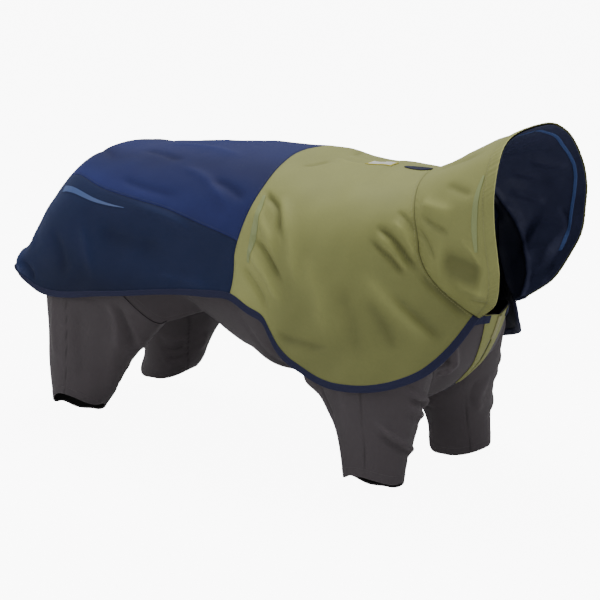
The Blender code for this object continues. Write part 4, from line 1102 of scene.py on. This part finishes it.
# ==== Chest and belly ==================================================================
# Two chest panels meet at the zip; one belly panel runs from between the front legs to the
# arched, turned edge at the groin. Their side edges are sewn to the legs' top rings.
CHEST_ROWS = (              # centre line x and z in millimetres, angle on the leg's ring
    (166, -149, 54),
    (160, -168, 36),
    (152, -187, 18),
    (142, -206, 0),
    (128, -223, -18),
    (112, -238, -36),
    (95, -251, -54),
    (72, -262, -72),
    (46, -268, -90),
    (20, -270, -108),
    (-2, -269, -126),
    (-21, -268, -144),
    (-38, -265, -162),
    (-52, -263, -180),
    (-65, -260, -198),
    (-77, -257, -216),
    (-89, -253.5, -234),
)
BELLY_ROWS = (              # centre x and z, the hidden edge's x and z, and squareness
    (-105, -249, -52, -122, 1.0),
    (-130, -239.5, -100, -108, 0.85),
    (-155, -229, -150, -106, 0.65),
    (-178, -216, -200, -110, 0.45),
    (-198, -204, -248, -118, 0.3),
)
CHEST_END = 6               # row where the chest panels meet the belly
NECKLINE_RISE = 14.0        # the chest's top edge climbs towards the coat, millimetres
NECKLINE_ROWS = 3.0         # rows over which the climb fades
BELLY_CENTRE_END = (-211, 0, -196)
FLANK_TURN = 72.0           # where the flank seam ends on the rear leg's top ring
ARCH_BOW = 10.0             # forward bow of the arched edge, millimetres
BODY_STEPS = 64
BODY_FINE = 8               # steps of the surface's table for each row
CHEST_GAP = 0.03            # share of a chest panel left open for the zip
CHEST_SHADE_GAIN = 3.0          # its folds are painted with more shade and highlight than their depth gives
SUIT_SETTLED = 0.3 * MM


def cross_section(centre, edge, square, lift):
    """Rounded section from the centre line to an edge point."""
    t = np.linspace(0.0, 1.0, BODY_STEPS + 1)[:, None]
    rise = max(edge[2] - centre[2], 0.0)
    first = centre + np.array((0.0, (0.48 + 0.12 * square) * edge[1], lift))
    second = edge - np.array((0.30 * (edge[0] - centre[0]), (0.38 - 0.26 * square) * edge[1],
                              (0.25 + 0.30 * square) * rise))
    line = (1 - t) ** 3 * centre + 3 * (1 - t) ** 2 * t * first
    return line + 3 * (1 - t) * t * t * second + t ** 3 * edge


def body_lines():
    """Left half of the suit's body, one line of points for each row."""
    lines = []
    for i, (x, z, turn) in enumerate(CHEST_ROWS):
        edge = front_leg_at(np.array(0.0), np.array(float(turn)))[0]
        lift = NECKLINE_RISE * MM * max(1.0 - i / NECKLINE_ROWS, 0.0)
        square = min(max((i - len(CHEST_ROWS) + 1.5) / 2.0, 0.0), 1.0)
        lines.append(cross_section(np.array((x, 0.0, z)) * MM, edge, square, lift))
    for x, z, edge_x, edge_z, square in BELLY_ROWS:
        width = coat_half_width([edge_x * MM], [edge_z * MM])[0] - SUIT_SEAT
        edge = np.array((edge_x * MM, width, edge_z * MM))
        lines.append(cross_section(np.array((x, 0.0, z)) * MM, edge, square, 0.0))
    centre = np.array(BELLY_CENTRE_END) * MM
    corner = rear_leg_at(np.array(0.0), np.array(0.0))[0]
    half = BODY_STEPS // 2
    t = np.linspace(0.0, 1.0, half + 1)[:, None]
    arch = centre + (corner - centre) * t
    arch[:, 0] += ARCH_BOW * MM * np.sin(np.pi * t[:, 0])
    arch[:, 2] = centre[2] + (corner[2] - centre[2]) * t[:, 0] ** 2
    turn = FLANK_TURN * np.linspace(0.0, 1.0, half + 1)[1:]
    lines.append(np.concatenate((arch, rear_leg_at(np.zeros(half), turn)[0])))
    return np.array(lines)


BODY_LINES = body_lines()
BODY_LAST = len(BODY_LINES) - 1
BODY_SKIN = smooth_rows(BODY_LINES, np.linspace(0.0, BODY_LAST, BODY_FINE * BODY_LAST + 1))
BODY_FACING = facings(BODY_SKIN)
# The chest's rows face forward, and the centre line faces straight.
BODY_FACING = BODY_FACING * np.sign(np.sum(BODY_FACING[:20, :, 0]))
BODY_FACING[:, 0, 1] = 0.0
BODY_FACING = unit(BODY_FACING)


def body_at(row, share):
    """Place and facing on the body: share is -1 right edge, 0 centre, 1 left edge."""
    a = np.asarray(row) / BODY_LAST
    side = np.abs(share)
    return (on_side(read_table(BODY_SKIN, a, side), share),
            on_side(read_table(BODY_FACING, a, side), share))


BODY_FOLDS = (              # row and share at three places, then half width and height
    (0.6, 0.50, 1.8, 0.48, 3.6, 0.50, 4.0, 3.6),
    (0.6, 0.62, 1.8, 0.60, 3.4, 0.66, 4.0, -4.0),
    (0.8, 0.75, 1.8, 0.72, 2.8, 0.86, 4.5, 4.0),
    (2.2, 0.60, 3.0, 0.72, 3.6, 0.92, 4.5, -3.6),
    (3.2, 0.52, 3.9, 0.66, 4.3, 0.90, 5.0, 3.8),
    (12.5, 0.35, 14.0, 0.55, 15.5, 0.85, 9.0, 1.6),
    (14.5, 0.20, 16.5, 0.40, 18.5, 0.80, 9.0, -1.6),
    (18.0, 0.15, 19.5, 0.35, 21.5, 0.60, 9.0, 1.5),
)
SUIT_CRESTS = FRONT_CRESTS + REAR_CRESTS + crests_both(body_at, BODY_FOLDS, (0.15, 0.0))
CHEST_INSIDE = (0.06, 0.0, -0.16)


def chest_skin(side):
    def skin(s, t):
        return body_at(CHEST_END * t, side * (CHEST_GAP + (1.0 - CHEST_GAP) * s))
    return skin


def chest_relief(s, t, points, across, along):
    leg = across[:, -1:] - across
    front = along[-1:] - along
    folds = fold_relief(points, SUIT_CRESTS)
    height = folds + settled(points, SUIT_SETTLED) + seam_dip(leg) + seam_dip(front)
    return height, seam_mark(leg, front) + fold_shade(CHEST_SHADE_GAIN * folds)


for word, side in SIDES:
    chest = cloth_sheet("chest_" + word + "_cloth", 56, 74, chest_skin(side), chest_relief,
                        SUIT_WALL, (SUIT_GREY, SUIT_INSIDE_SHADE), CHEST_INSIDE)
    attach(chest, "root")
    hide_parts("chest_" + word)


def belly_skin(s, t):
    return body_at(CHEST_END + (BODY_LAST - CHEST_END) * t, 2.0 * s - 1.0)


def belly_relief(s, t, points, across, along):
    leg = to_side(across)
    folds = fold_relief(points, SUIT_CRESTS)
    height = folds + settled(points, SUIT_SETTLED) + under_coat(points)
    height = height + seam_dip(leg) + seam_dip(along)
    return height, seam_mark(leg, along) + fold_shade(folds)


BELLY_COLUMNS = 150
# How far the hem turns in: whole along the arch, none where the flanks are sewn.
ARCH_SHARE = smooth_step((0.5 - np.abs(2.0 * edge_steps(BELLY_COLUMNS) - 1.0)) / 0.06)
belly = cloth_sheet("belly_cloth", BELLY_COLUMNS, 120, belly_skin, belly_relief, SUIT_WALL,
                    (SUIT_GREY, SUIT_INSIDE_SHADE), (-0.08, 0.0, -0.12),
                    hem=turned_edge(1.1 * MM, 9.0 * MM, share=ARCH_SHARE))
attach(belly, "root")
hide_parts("belly")


# ==== Placket and zip ==================================================================
# Two olive shell facings down the chest, widest at the neck and tapered to a point, sewn
# over the navy zip tape. A short garage covers the top of the closed coil zip.
PLACKET_ROWS = (            # chest row and half width in millimetres
    (0.0, 25.0),
    (0.6, 22.5),
    (1.8, 18.0),
    (2.6, 14.5),
    (3.4, 11.0),
    (4.2, 7.5),
    (4.8, 4.8),
)
PLACKET_TOP = 1.8 * MM      # outer face above the chest
EDGE_STITCH = 2.4 * MM      # from a facing's edge to its stitches
ZIP_HALF = 4.0 * MM
GARAGE_END = 1.5            # chest row where the garage ends
ZIP_MEETS = 0.5 * MM        # half of the gap between the facings under the garage
ZIP_SHOWS = 2.2 * MM        # and below it, where it shows the coil


def body_width_at(row, width):
    """Place and facing on the chest or belly at a row and a distance from the middle."""
    row = np.broadcast_to(row, np.shape(width))
    steps = np.linspace(0.0, 1.0, BODY_STEPS + 1)
    lines = read_table(BODY_SKIN, np.ravel(row)[:, None] / BODY_LAST, steps[None, :])[..., 1]
    flat = np.abs(np.ravel(width))
    share = np.array([np.interp(w, line, steps) for w, line in zip(flat, lines)])
    share = share.reshape(np.shape(width)) * np.where(np.asarray(width) < 0.0, -1.0, 1.0)
    return body_at(row, share)


def placket_gap(row):
    """The facings meet under the garage and part below it to show the coil."""
    return ZIP_MEETS + (ZIP_SHOWS - ZIP_MEETS) * smooth_step((row - GARAGE_END + 0.3) / 0.6)


def placket_skin(side):
    def skin(s, t):
        row = smooth_rows(PLACKET_ROWS, t * (len(PLACKET_ROWS) - 1))
        inner = np.minimum(placket_gap(row[..., 0]), 0.6 * row[..., 1] * MM)
        width = inner + (row[..., 1] * MM - inner) * s
        return body_width_at(row[..., 0], side * width)
    return skin


def placket_relief(s, t, points, across, along):
    edge = to_side(across)
    height = PLACKET_TOP - 0.45 * MM * np.exp(-(edge / (0.9 * MM)) ** 2)
    height = height + seam_dip(edge - EDGE_STITCH, 0.30 * MM, 0.7 * MM)
    height = height + seam_pucker(edge, along, 0.28 * MM, 7.0 * MM, 7.0 * MM)
    height = height + 0.5 * fold_relief(points, SUIT_CRESTS)
    return height, 0.3 * np.exp(-((edge - EDGE_STITCH) / (0.6 * MM)) ** 2)


for word, side in SIDES:
    facing = cloth_sheet("placket_" + word + "_cloth", 26, 90, placket_skin(side),
                         placket_relief, 1.0 * MM, (OLIVE,), CHEST_INSIDE)
    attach(facing, "root")
    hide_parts("placket_" + word)


def zip_skin(s, t):
    return body_width_at(CHEST_END * t, ZIP_HALF * (2.0 * s - 1.0))


def zip_relief(s, t, points, across, along):
    return 0.5 * fold_relief(points, SUIT_CRESTS), np.zeros_like(s)


ZIP_NAVY = cloth_finish("zip_navy", (0.016, 0.018, 0.035), 0.0005, 0.55, 0.05, 0.5)
zip_tape = cloth_sheet("zip_tape", 6, 80, zip_skin, zip_relief, 0.5 * MM, (ZIP_NAVY,),
                       CHEST_INSIDE)
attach(zip_tape, "root")
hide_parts("zip_strip")

TEETH_PITCH = 1.5 * MM
TEETH_SIZE = (0.55 * MM, 1.25 * MM, 0.5 * MM)       # along, across and out of the zip
TEETH_STAGGER = 0.45 * MM
TEETH_RISE = 0.35 * MM
BEAD_TURNS = 6
BEAD_RINGS = 4


def bead_mesh(name):
    """A rough ball of radius 1, laid out point by point so that each run orders its faces alike."""
    places = [(0.0, 0.0, 1.0)]
    for i in range(1, BEAD_RINGS):
        rise = math.pi * i / BEAD_RINGS
        for j in range(BEAD_TURNS):
            turn = 2.0 * math.pi * j / BEAD_TURNS
            flat = math.sin(rise)
            places.append((flat * math.sin(turn), flat * math.cos(turn), math.cos(rise)))
    places.append((0.0, 0.0, -1.0))
    last = len(places) - 1
    foot = last - BEAD_TURNS
    faces = []
    for j in range(BEAD_TURNS):
        k = (j + 1) % BEAD_TURNS
        faces.append((0, 1 + k, 1 + j))
        for top in range(1, foot, BEAD_TURNS):
            low = top + BEAD_TURNS
            faces.append((top + j, top + k, low + k, low + j))
        faces.append((foot + j, foot + k, last))
    bead = bpy.data.meshes.new(name + "_bead")
    bead.from_pydata(places, [], faces)
    bead.shade_smooth()
    return bead


def beads(name, places, alongs, ups, size, finish):
    """Many small oval beads as one mesh: size is their half length, width and height."""
    bead = bead_mesh(name)
    form = np.empty(3 * len(bead.vertices))
    bead.vertices.foreach_get("co", form)
    form = form.reshape(-1, 3) * size
    bm = bmesh.new()
    for place, along, up in zip(places, alongs, ups):
        axes = np.array((along, np.cross(up, along), up))
        bead.vertices.foreach_set("co", (place + form @ axes).ravel())
        bm.from_mesh(bead)
    bpy.data.meshes.remove(bead)
    return mesh_object(name, bm, (finish,))


def even_places(points, facing, pitch):
    """Even places along a line of points, with the line's direction and the facing."""
    run = run_length(points)
    at = np.arange(0.5 * pitch, run[-1], pitch)
    step = 0.3 * pitch
    along = unit(read_line(points, run, at + step) - read_line(points, run, at - step))
    up = read_line(facing, run, at)
    up = unit(up - along * np.sum(up * along, axis=1, keepdims=True))
    return read_line(points, run, at), along, up


def thread_finish(name, colour, rough=0.6):
    """Twisted thread or moulded coil: one colour, uneven from bead to bead."""
    finish, tree, shader = new_finish(name)
    tone = add_node(tree, "ShaderNodeGroup", {"node_tree": TONE_AND_SHADE}, Colour=(*colour, 1.0),
                    Broad=0.2, Fine=0.3, Seam=0.0)
    tree.links.new(tone.outputs["Colour"], shader.inputs["Base Color"])
    shader.inputs["Roughness"].default_value = rough
    return finish


COIL = thread_finish("zip_coil", (0.035, 0.035, 0.05), 0.35)
zip_rows = np.linspace(0.3, CHEST_END - 0.1, 60)
zip_points, zip_facing = body_width_at(zip_rows, np.zeros_like(zip_rows))
zip_height = TEETH_RISE + 0.5 * fold_relief(zip_points, SUIT_CRESTS)
zip_points = zip_points + zip_facing * zip_height[:, None]
places, alongs, ups = even_places(zip_points, zip_facing, TEETH_PITCH)
stagger = np.where(np.arange(len(places)) % 2, TEETH_STAGGER, -TEETH_STAGGER)[:, None]
teeth = beads("zip_coil", places + np.cross(ups, alongs) * stagger, alongs, ups, TEETH_SIZE, COIL)
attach(teeth, "root")


GARAGE_START = 0.05
GARAGE_HALF = 3.8 * MM
GARAGE_RISE = 0.75 * MM     # its edges above the facings


def garage_skin(s, t):
    row = GARAGE_START + (GARAGE_END - GARAGE_START) * t
    return body_width_at(row, GARAGE_HALF * (2.0 * s - 1.0))


def garage_relief(s, t, points, across, along):
    crown = 0.5 * MM * np.sqrt(np.clip(to_side(across) / GARAGE_HALF, 0.0, 1.0))
    return PLACKET_TOP + GARAGE_RISE + crown, np.zeros_like(s)


GARAGE_OLIVE = cloth_finish("garage_olive", (0.31, 0.30, 0.14), 0.0008, 0.6, 0.15, 0.35)
garage = cloth_sheet("zip_garage", 10, 26, garage_skin, garage_relief, 0.5 * MM,
                     (GARAGE_OLIVE,), CHEST_INSIDE)
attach(garage, "root")


TAB_ROW = 0.02              # chest row of a tab's upper edge
TAB_ROWS = 0.44             # and how many rows it covers
TAB_INNER = 17.0            # from the middle to its inner end, millimetres
TAB_LENGTH = 20.0
TAB_STEP = 26.0 * MM        # where it steps down off the facing
TAB_HEIGHT = 1.9 * MM
TAB_OVER = 1.0 * MM


def tab_skin(side):
    def skin(s, t):
        return body_width_at(TAB_ROW + TAB_ROWS * t, side * (TAB_INNER + TAB_LENGTH * s) * MM)
    return skin


def tab_relief(s, t, points, across, along):
    over = smooth_step((TAB_STEP - np.abs(points[..., 1])) / (3.0 * MM) + 0.5)
    round_edge = 0.4 * MM * np.exp(-(to_edge(across, along) / (0.8 * MM)) ** 2)
    return TAB_HEIGHT + TAB_OVER * over - round_edge, np.zeros_like(s)


for word, side in SIDES:
    tab = cloth_sheet("neck_tab_" + word + "_tape", 20, 12, tab_skin(side), tab_relief,
                      0.7 * MM, (BINDING_NAVY,), CHEST_INSIDE)
    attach(tab, "root")
    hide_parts("neck_tab_" + word)


# ==== Reflective slivers ===============================================================
# Thin laminated strips with pointed ends: pale blue on the rear of each side panel, pale
# green on each shoulder and on each side of the hood.
SLIVER_LIFT = 0.45 * MM
SLIVER_WALL = 0.25 * MM
REAR_SLIVER = ((3.5, 0.440), (4.45, 0.495), (5.25, 0.534), (5.92, 0.562))
SHOULDER_SLIVER = ((9.30, 0.48), (9.63, 0.59), (9.79, 0.68), (9.75, 0.78))
HOOD_SLIVER = ((0.88, 0.34), (0.80, 0.49), (0.78, 0.60))
SLIVER_BLUE = cloth_finish("sliver_blue", (0.075, 0.120, 0.280), 0.0006, 0.30, 0.0, 0.10,
                           broad=0.10, fine=0.05)
SLIVER_GREEN = cloth_finish("sliver_green", (0.292, 0.330, 0.145), 0.0006, 0.36, 0.0, 0.10,
                            broad=0.10, fine=0.05)


def long_taper(f):
    return 1.0 - 0.93 * f


def leaf_taper(f):
    return 0.12 + 0.88 * np.sin(np.pi * np.clip(0.06 + 0.88 * f, 0.0, 1.0)) ** 0.7


def strip_skin(place_at, path, half_width, taper):
    """Skin of a strip that follows a path of places, with a tapered width."""
    def skin(s, t):
        way = smooth_rows(path, t * (len(path) - 1))
        point, facing = place_at(way[..., 0], way[..., 1])
        ahead = unit(np.gradient(point, axis=0))
        side = unit(np.cross(ahead, facing))
        reach = half_width * taper(t) * (2.0 * s - 1.0)
        return point + side * reach[..., None], facing
    return skin


def strip_relief(s, t, points, across, along):
    return SLIVER_LIFT + coat_relief(points), np.zeros_like(s)


def sliver(name, place_at, path, half_width, taper, finish, node):
    item = cloth_sheet(name, 8, 70, strip_skin(place_at, path, half_width, taper),
                       strip_relief, SLIVER_WALL, (finish,), COAT_INSIDE)
    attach(item, "root")
    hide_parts(node)


for word, side in SIDES:
    turned = [(u, side * v) for u, v in REAR_SLIVER]
    sliver("sliver_rear_" + word + "_film", coat_at, turned, 4.2 * MM, long_taper, SLIVER_BLUE,
           "sliver_rear_" + word)
    turned = [(u, side * v) for u, v in SHOULDER_SLIVER]
    sliver("sliver_shoulder_" + word + "_film", coat_at, turned, 3.9 * MM, leaf_taper,
           SLIVER_GREEN, "sliver_shoulder_" + word)
    turned = [(w, side * v) for w, v in HOOD_SLIVER]
    sliver("sliver_hood_" + word + "_film", hood_at, turned, 3.3 * MM, leaf_taper,
           SLIVER_GREEN, "sliver_hood_" + word)


# ==== Leash welt =======================================================================
# A navy lens-shaped welt on the spine behind the hood, over the opening for the leash.
# The two lips of its slit lie closed against each other.
WELT_ROWS = (17.6, 20.9)
WELT_HALF = 8.5 * MM
WELT_TOP = 1.1 * MM         # its outer face above the yoke
LIP_RISE = 0.9 * MM
LIP_PLACE = 2.2 * MM        # crest of a lip from the slit
SLIT_DEPTH = 1.3 * MM
WELT_NAVY = cloth_finish("welt_navy", (0.016, 0.018, 0.050), 0.0008, 0.60, 0.05, 0.4,
                         seam=0.9)


def welt_skin(s, t):
    u = WELT_ROWS[0] + (WELT_ROWS[1] - WELT_ROWS[0]) * t
    half = WELT_HALF * np.sin(np.pi * (0.05 + 0.90 * t)) ** 0.7
    return coat_at(u, half / section_length(u) * (2.0 * s - 1.0))


def welt_relief(s, t, points, across, along):
    middle = np.abs(across - 0.5 * across[:, -1:])
    ends = smooth_step(t / 0.25) * smooth_step((1.0 - t) / 0.25)
    lips = LIP_RISE * np.exp(-((middle - LIP_PLACE) / (1.6 * MM)) ** 2) * ends
    slit = np.exp(-(middle / (0.8 * MM)) ** 2) * ends
    return WELT_TOP + coat_relief(points) + lips - SLIT_DEPTH * slit, slit


welt = cloth_sheet("leash_welt_cloth", 24, 40, welt_skin, welt_relief, 0.6 * MM, (WELT_NAVY,),
                   COAT_INSIDE)
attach(welt, "root")
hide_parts("leash_welt")


# ==== Spine label ======================================================================
# A plain woven label sewn on the spine: a pale field inside an ochre border, with no
# lettering and no picture.
LABEL_ROWS = (14.2, 16.6)
LABEL_HALF = 9.0 * MM
LABEL_BORDER = 2.2 * MM
LABEL_TOP = 0.9 * MM        # its outer face above the yoke
LABEL_FIELD = (0.60, 0.60, 0.56)
LABEL_OCHRE = (0.48, 0.42, 0.06)


def make_border():
    """Mixes two colours by the cloth's own mark, for a border."""
    group, given, result = new_group(
        "marked_border",
        [("Field", "NodeSocketColor", (0.8, 0.8, 0.8, 1.0)),
         ("Border", "NodeSocketColor", (0.5, 0.4, 0.1, 1.0))],
        [("Colour", "NodeSocketColor")])
    mark = add_node(group, "ShaderNodeAttribute", {"attribute_name": "seam"}).outputs["Fac"]
    sharp = add_math(group, "GREATER_THAN", mark, 0.5)
    mix = add_node(group, "ShaderNodeMix", {"data_type": "RGBA"}, Factor=sharp,
                   _6=given["Field"], _7=given["Border"])
    group.links.new(mix.outputs[2], result["Colour"])
    return group


def label_skin(s, t):
    u = LABEL_ROWS[0] + (LABEL_ROWS[1] - LABEL_ROWS[0]) * t
    return coat_at(u, LABEL_HALF / section_length(u) * (2.0 * s - 1.0))


def label_relief(s, t, points, across, along):
    edge = to_edge(across, along)
    height = LABEL_TOP + coat_relief(points) - 0.3 * MM * np.exp(-(edge / (0.7 * MM)) ** 2)
    return height, smooth_step((LABEL_BORDER - edge) / (0.5 * MM) + 0.5)


LABEL = cloth_finish("label_woven", LABEL_FIELD, 0.0005, 0.65, 0.05, 0.5, seam=0.0)
label_tree = LABEL.node_tree
label_mix = add_node(label_tree, "ShaderNodeGroup", {"node_tree": make_border()},
                     Field=(*LABEL_FIELD, 1.0), Border=(*LABEL_OCHRE, 1.0))
label_tree.links.new(label_mix.outputs[0], label_tree.nodes["tone"].inputs["Colour"])
label = cloth_sheet("spine_label_cloth", 30, 44, label_skin, label_relief, 0.4 * MM, (LABEL,),
                    COAT_INSIDE)
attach(label, "root")
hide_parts("spine_label")


# ==== Stitching ========================================================================
# Lock stitches in matching thread, worked as short beads that sink into the cloth. They
# follow the points of the sheets they are sewn through.
STITCH_PITCH = 3.2 * MM
BINDING_PITCH = 2.8 * MM
STITCH_SIZE = (1.15 * MM, 0.24 * MM, 0.20 * MM)
STITCH_RISE = 0.06 * MM
SEAM_STITCH = 2.6 * MM      # from a seam to its stitches
NECK_STITCH = 2.8 * MM
HEM_STITCH = 9.0 * MM       # from the suit's cuffs and arched edge to theirs
BINDING_COLUMN = 2          # column of the tape's points that is sewn through
THREAD_NAVY = thread_finish("thread_navy", (0.045, 0.055, 0.13))
THREAD_OLIVE = thread_finish("thread_olive", (0.34, 0.33, 0.17))
THREAD_GREY = thread_finish("thread_grey", (0.11, 0.10, 0.10))


def sheet_line(name, distance, column=None, row=None):
    """A line on a finished sheet, at a distance in from its first (0) or last (1) column
    or row, with the facing along it."""
    points, facing, across, along = SHEETS[name]
    run = along.T if column is None else across
    last = run.shape[1] - 1
    from_last = 1 in (column, row)
    if from_last:
        run = (run[:, -1:] - run)[:, ::-1]
    steps = np.array([np.interp(distance, way, np.arange(last + 1)) for way in run])
    if from_last:
        steps = last - steps
    even = np.arange(len(run)) / (len(run) - 1)
    a, b = (steps / last, even) if column is None else (even, steps / last)
    up = unit(read_table(facing, a, b))
    return read_table(points, a, b) + up * STITCH_RISE, up


def stitches(name, lines, finish, pitch=STITCH_PITCH):
    found = [even_places(points, facing, pitch) for points, facing in lines]
    places, alongs, ups = (np.concatenate(part) for part in zip(*found))
    item = beads(name, places, alongs, ups, STITCH_SIZE, finish)
    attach(item, "root")


stitches("stitches_back", [
    sheet_line("coat_back_cloth", SEAM_STITCH, column=0),
    sheet_line("coat_back_cloth", SEAM_STITCH, column=1),
    sheet_line("coat_back_cloth", SEAM_STITCH, row=1),
], THREAD_NAVY)
stitches("stitches_shoulder", [
    sheet_line("coat_shoulder_cloth", SEAM_STITCH, row=0),
    sheet_line("coat_shoulder_cloth", NECK_STITCH, row=1),
    sheet_line("hood_cloth", HEM_BAND, row=1),
    sheet_line("placket_right_cloth", EDGE_STITCH, column=1),
    sheet_line("placket_left_cloth", EDGE_STITCH, column=1),
    sheet_line("placket_right_cloth", EDGE_STITCH, column=0),
    sheet_line("placket_left_cloth", EDGE_STITCH, column=0),
], THREAD_OLIVE)
stitches("stitches_suit", [
    sheet_line("leg_front_right_tube", HEM_STITCH, row=1),
    sheet_line("leg_front_left_tube", HEM_STITCH, row=1),
    sheet_line("leg_rear_right_tube", HEM_STITCH, row=1),
    sheet_line("leg_rear_left_tube", HEM_STITCH, row=1),
    sheet_line("belly_cloth", HEM_STITCH, row=1),
], THREAD_GREY)
sewn = SHEETS["hem_binding_tape"][0][:, BINDING_COLUMN]
sewn_up = facings(SHEETS["hem_binding_tape"][0])[:, BINDING_COLUMN]
sewn_up = sewn_up * np.sign(np.sum(sewn_up * (sewn - np.array(COAT_INSIDE))))
stitches("stitches_binding", [(sewn, sewn_up)], THREAD_NAVY, BINDING_PITCH)


# ==== Studio ===========================================================================
# A pale floor, soft light from above, two weaker lights from the wearer's right, and the
# camera at the photo's angle.
FLOOR_Z = -0.3535
BACKDROP_GLOW = 9.0
HORIZON_LIGHT = 0.32
ZENITH_LIGHT = 0.58
floor_finish, floor_tree, floor_shader = new_finish("floor_white")
floor_shader.inputs["Base Color"].default_value = (0.62, 0.62, 0.62, 1.0)
floor_shader.inputs["Roughness"].default_value = 0.9
floor_shader.inputs["Emission Color"].default_value = (1.0, 1.0, 1.0, 1.0)
# A bright backdrop to the eye that adds no light to the cloth.
seen = add_node(floor_tree, "ShaderNodeLightPath").outputs["Is Camera Ray"]
floor_tree.links.new(add_math(floor_tree, "MULTIPLY", seen, BACKDROP_GLOW),
                     floor_shader.inputs["Emission Strength"])
bm = bmesh.new()
bmesh.ops.create_grid(bm, x_segments=2, y_segments=2, size=6.0)
bmesh.ops.translate(bm, vec=(0.0, 0.0, FLOOR_Z), verts=bm.verts)
floor = mesh_object("floor", bm, (floor_finish,))

world = bpy.data.worlds.new("studio")
world.use_nodes = True
sky = world.node_tree
way = add_node(sky, "ShaderNodeTexCoord").outputs["Generated"]
rise = add_node(sky, "ShaderNodeSeparateXYZ", _0=way).outputs[2]
dome = add_node(sky, "ShaderNodeMapRange", {"clamp": True}, Value=rise, From_Min=-0.2,
                From_Max=1.0, To_Min=HORIZON_LIGHT, To_Max=ZENITH_LIGHT).outputs[0]
seen = add_node(sky, "ShaderNodeLightPath").outputs["Is Camera Ray"]
glow = add_math(sky, "ADD", dome, add_math(sky, "MULTIPLY", seen, BACKDROP_GLOW))
sky.nodes["Background"].inputs[0].default_value = (0.95, 0.97, 1.0, 1.0)
sky.links.new(glow, sky.nodes["Background"].inputs[1])
bpy.context.scene.world = world


def soft_light(name, place, target, size, power):
    lamp = bpy.data.lights.new(name, "AREA")
    lamp.shape = "DISK"
    lamp.size = size
    lamp.energy = power
    item = bpy.data.objects.new(name, lamp)
    item.location = place
    item.rotation_euler = (Vector(target) - Vector(place)).to_track_quat("-Z", "Y").to_euler()
    bpy.context.scene.collection.objects.link(item)


soft_light("overhead", (-0.5, 0.5, 2.4), (-0.1, 0.0, -0.1), 1.3, 56.0)
soft_light("side_fill", (-2.2, -2.1, 0.8), (-0.1, 0.0, -0.2), 1.2, 16.0)
soft_light("front_fill", (1.9, -1.3, -0.1), (0.0, 0.0, -0.25), 1.0, 10.0)

CAMERA_AZIMUTH = math.radians(35.0)
CAMERA_RISE = math.radians(15.0)
CAMERA_DISTANCE = 2.2
CAMERA_TARGET = Vector((-0.10, 0.0, -0.174))
camera_data = bpy.data.cameras.new("camera")
camera_data.lens = 112.2
camera_data.sensor_width = 36.0
camera = bpy.data.objects.new("camera", camera_data)
back = Vector((math.sin(CAMERA_AZIMUTH) * math.cos(CAMERA_RISE),
               -math.cos(CAMERA_AZIMUTH) * math.cos(CAMERA_RISE), math.sin(CAMERA_RISE)))
camera.location = CAMERA_TARGET + back * CAMERA_DISTANCE
camera.rotation_euler = (-back).to_track_quat("-Z", "Y").to_euler()
bpy.context.scene.collection.objects.link(camera)
bpy.context.scene.camera = camera
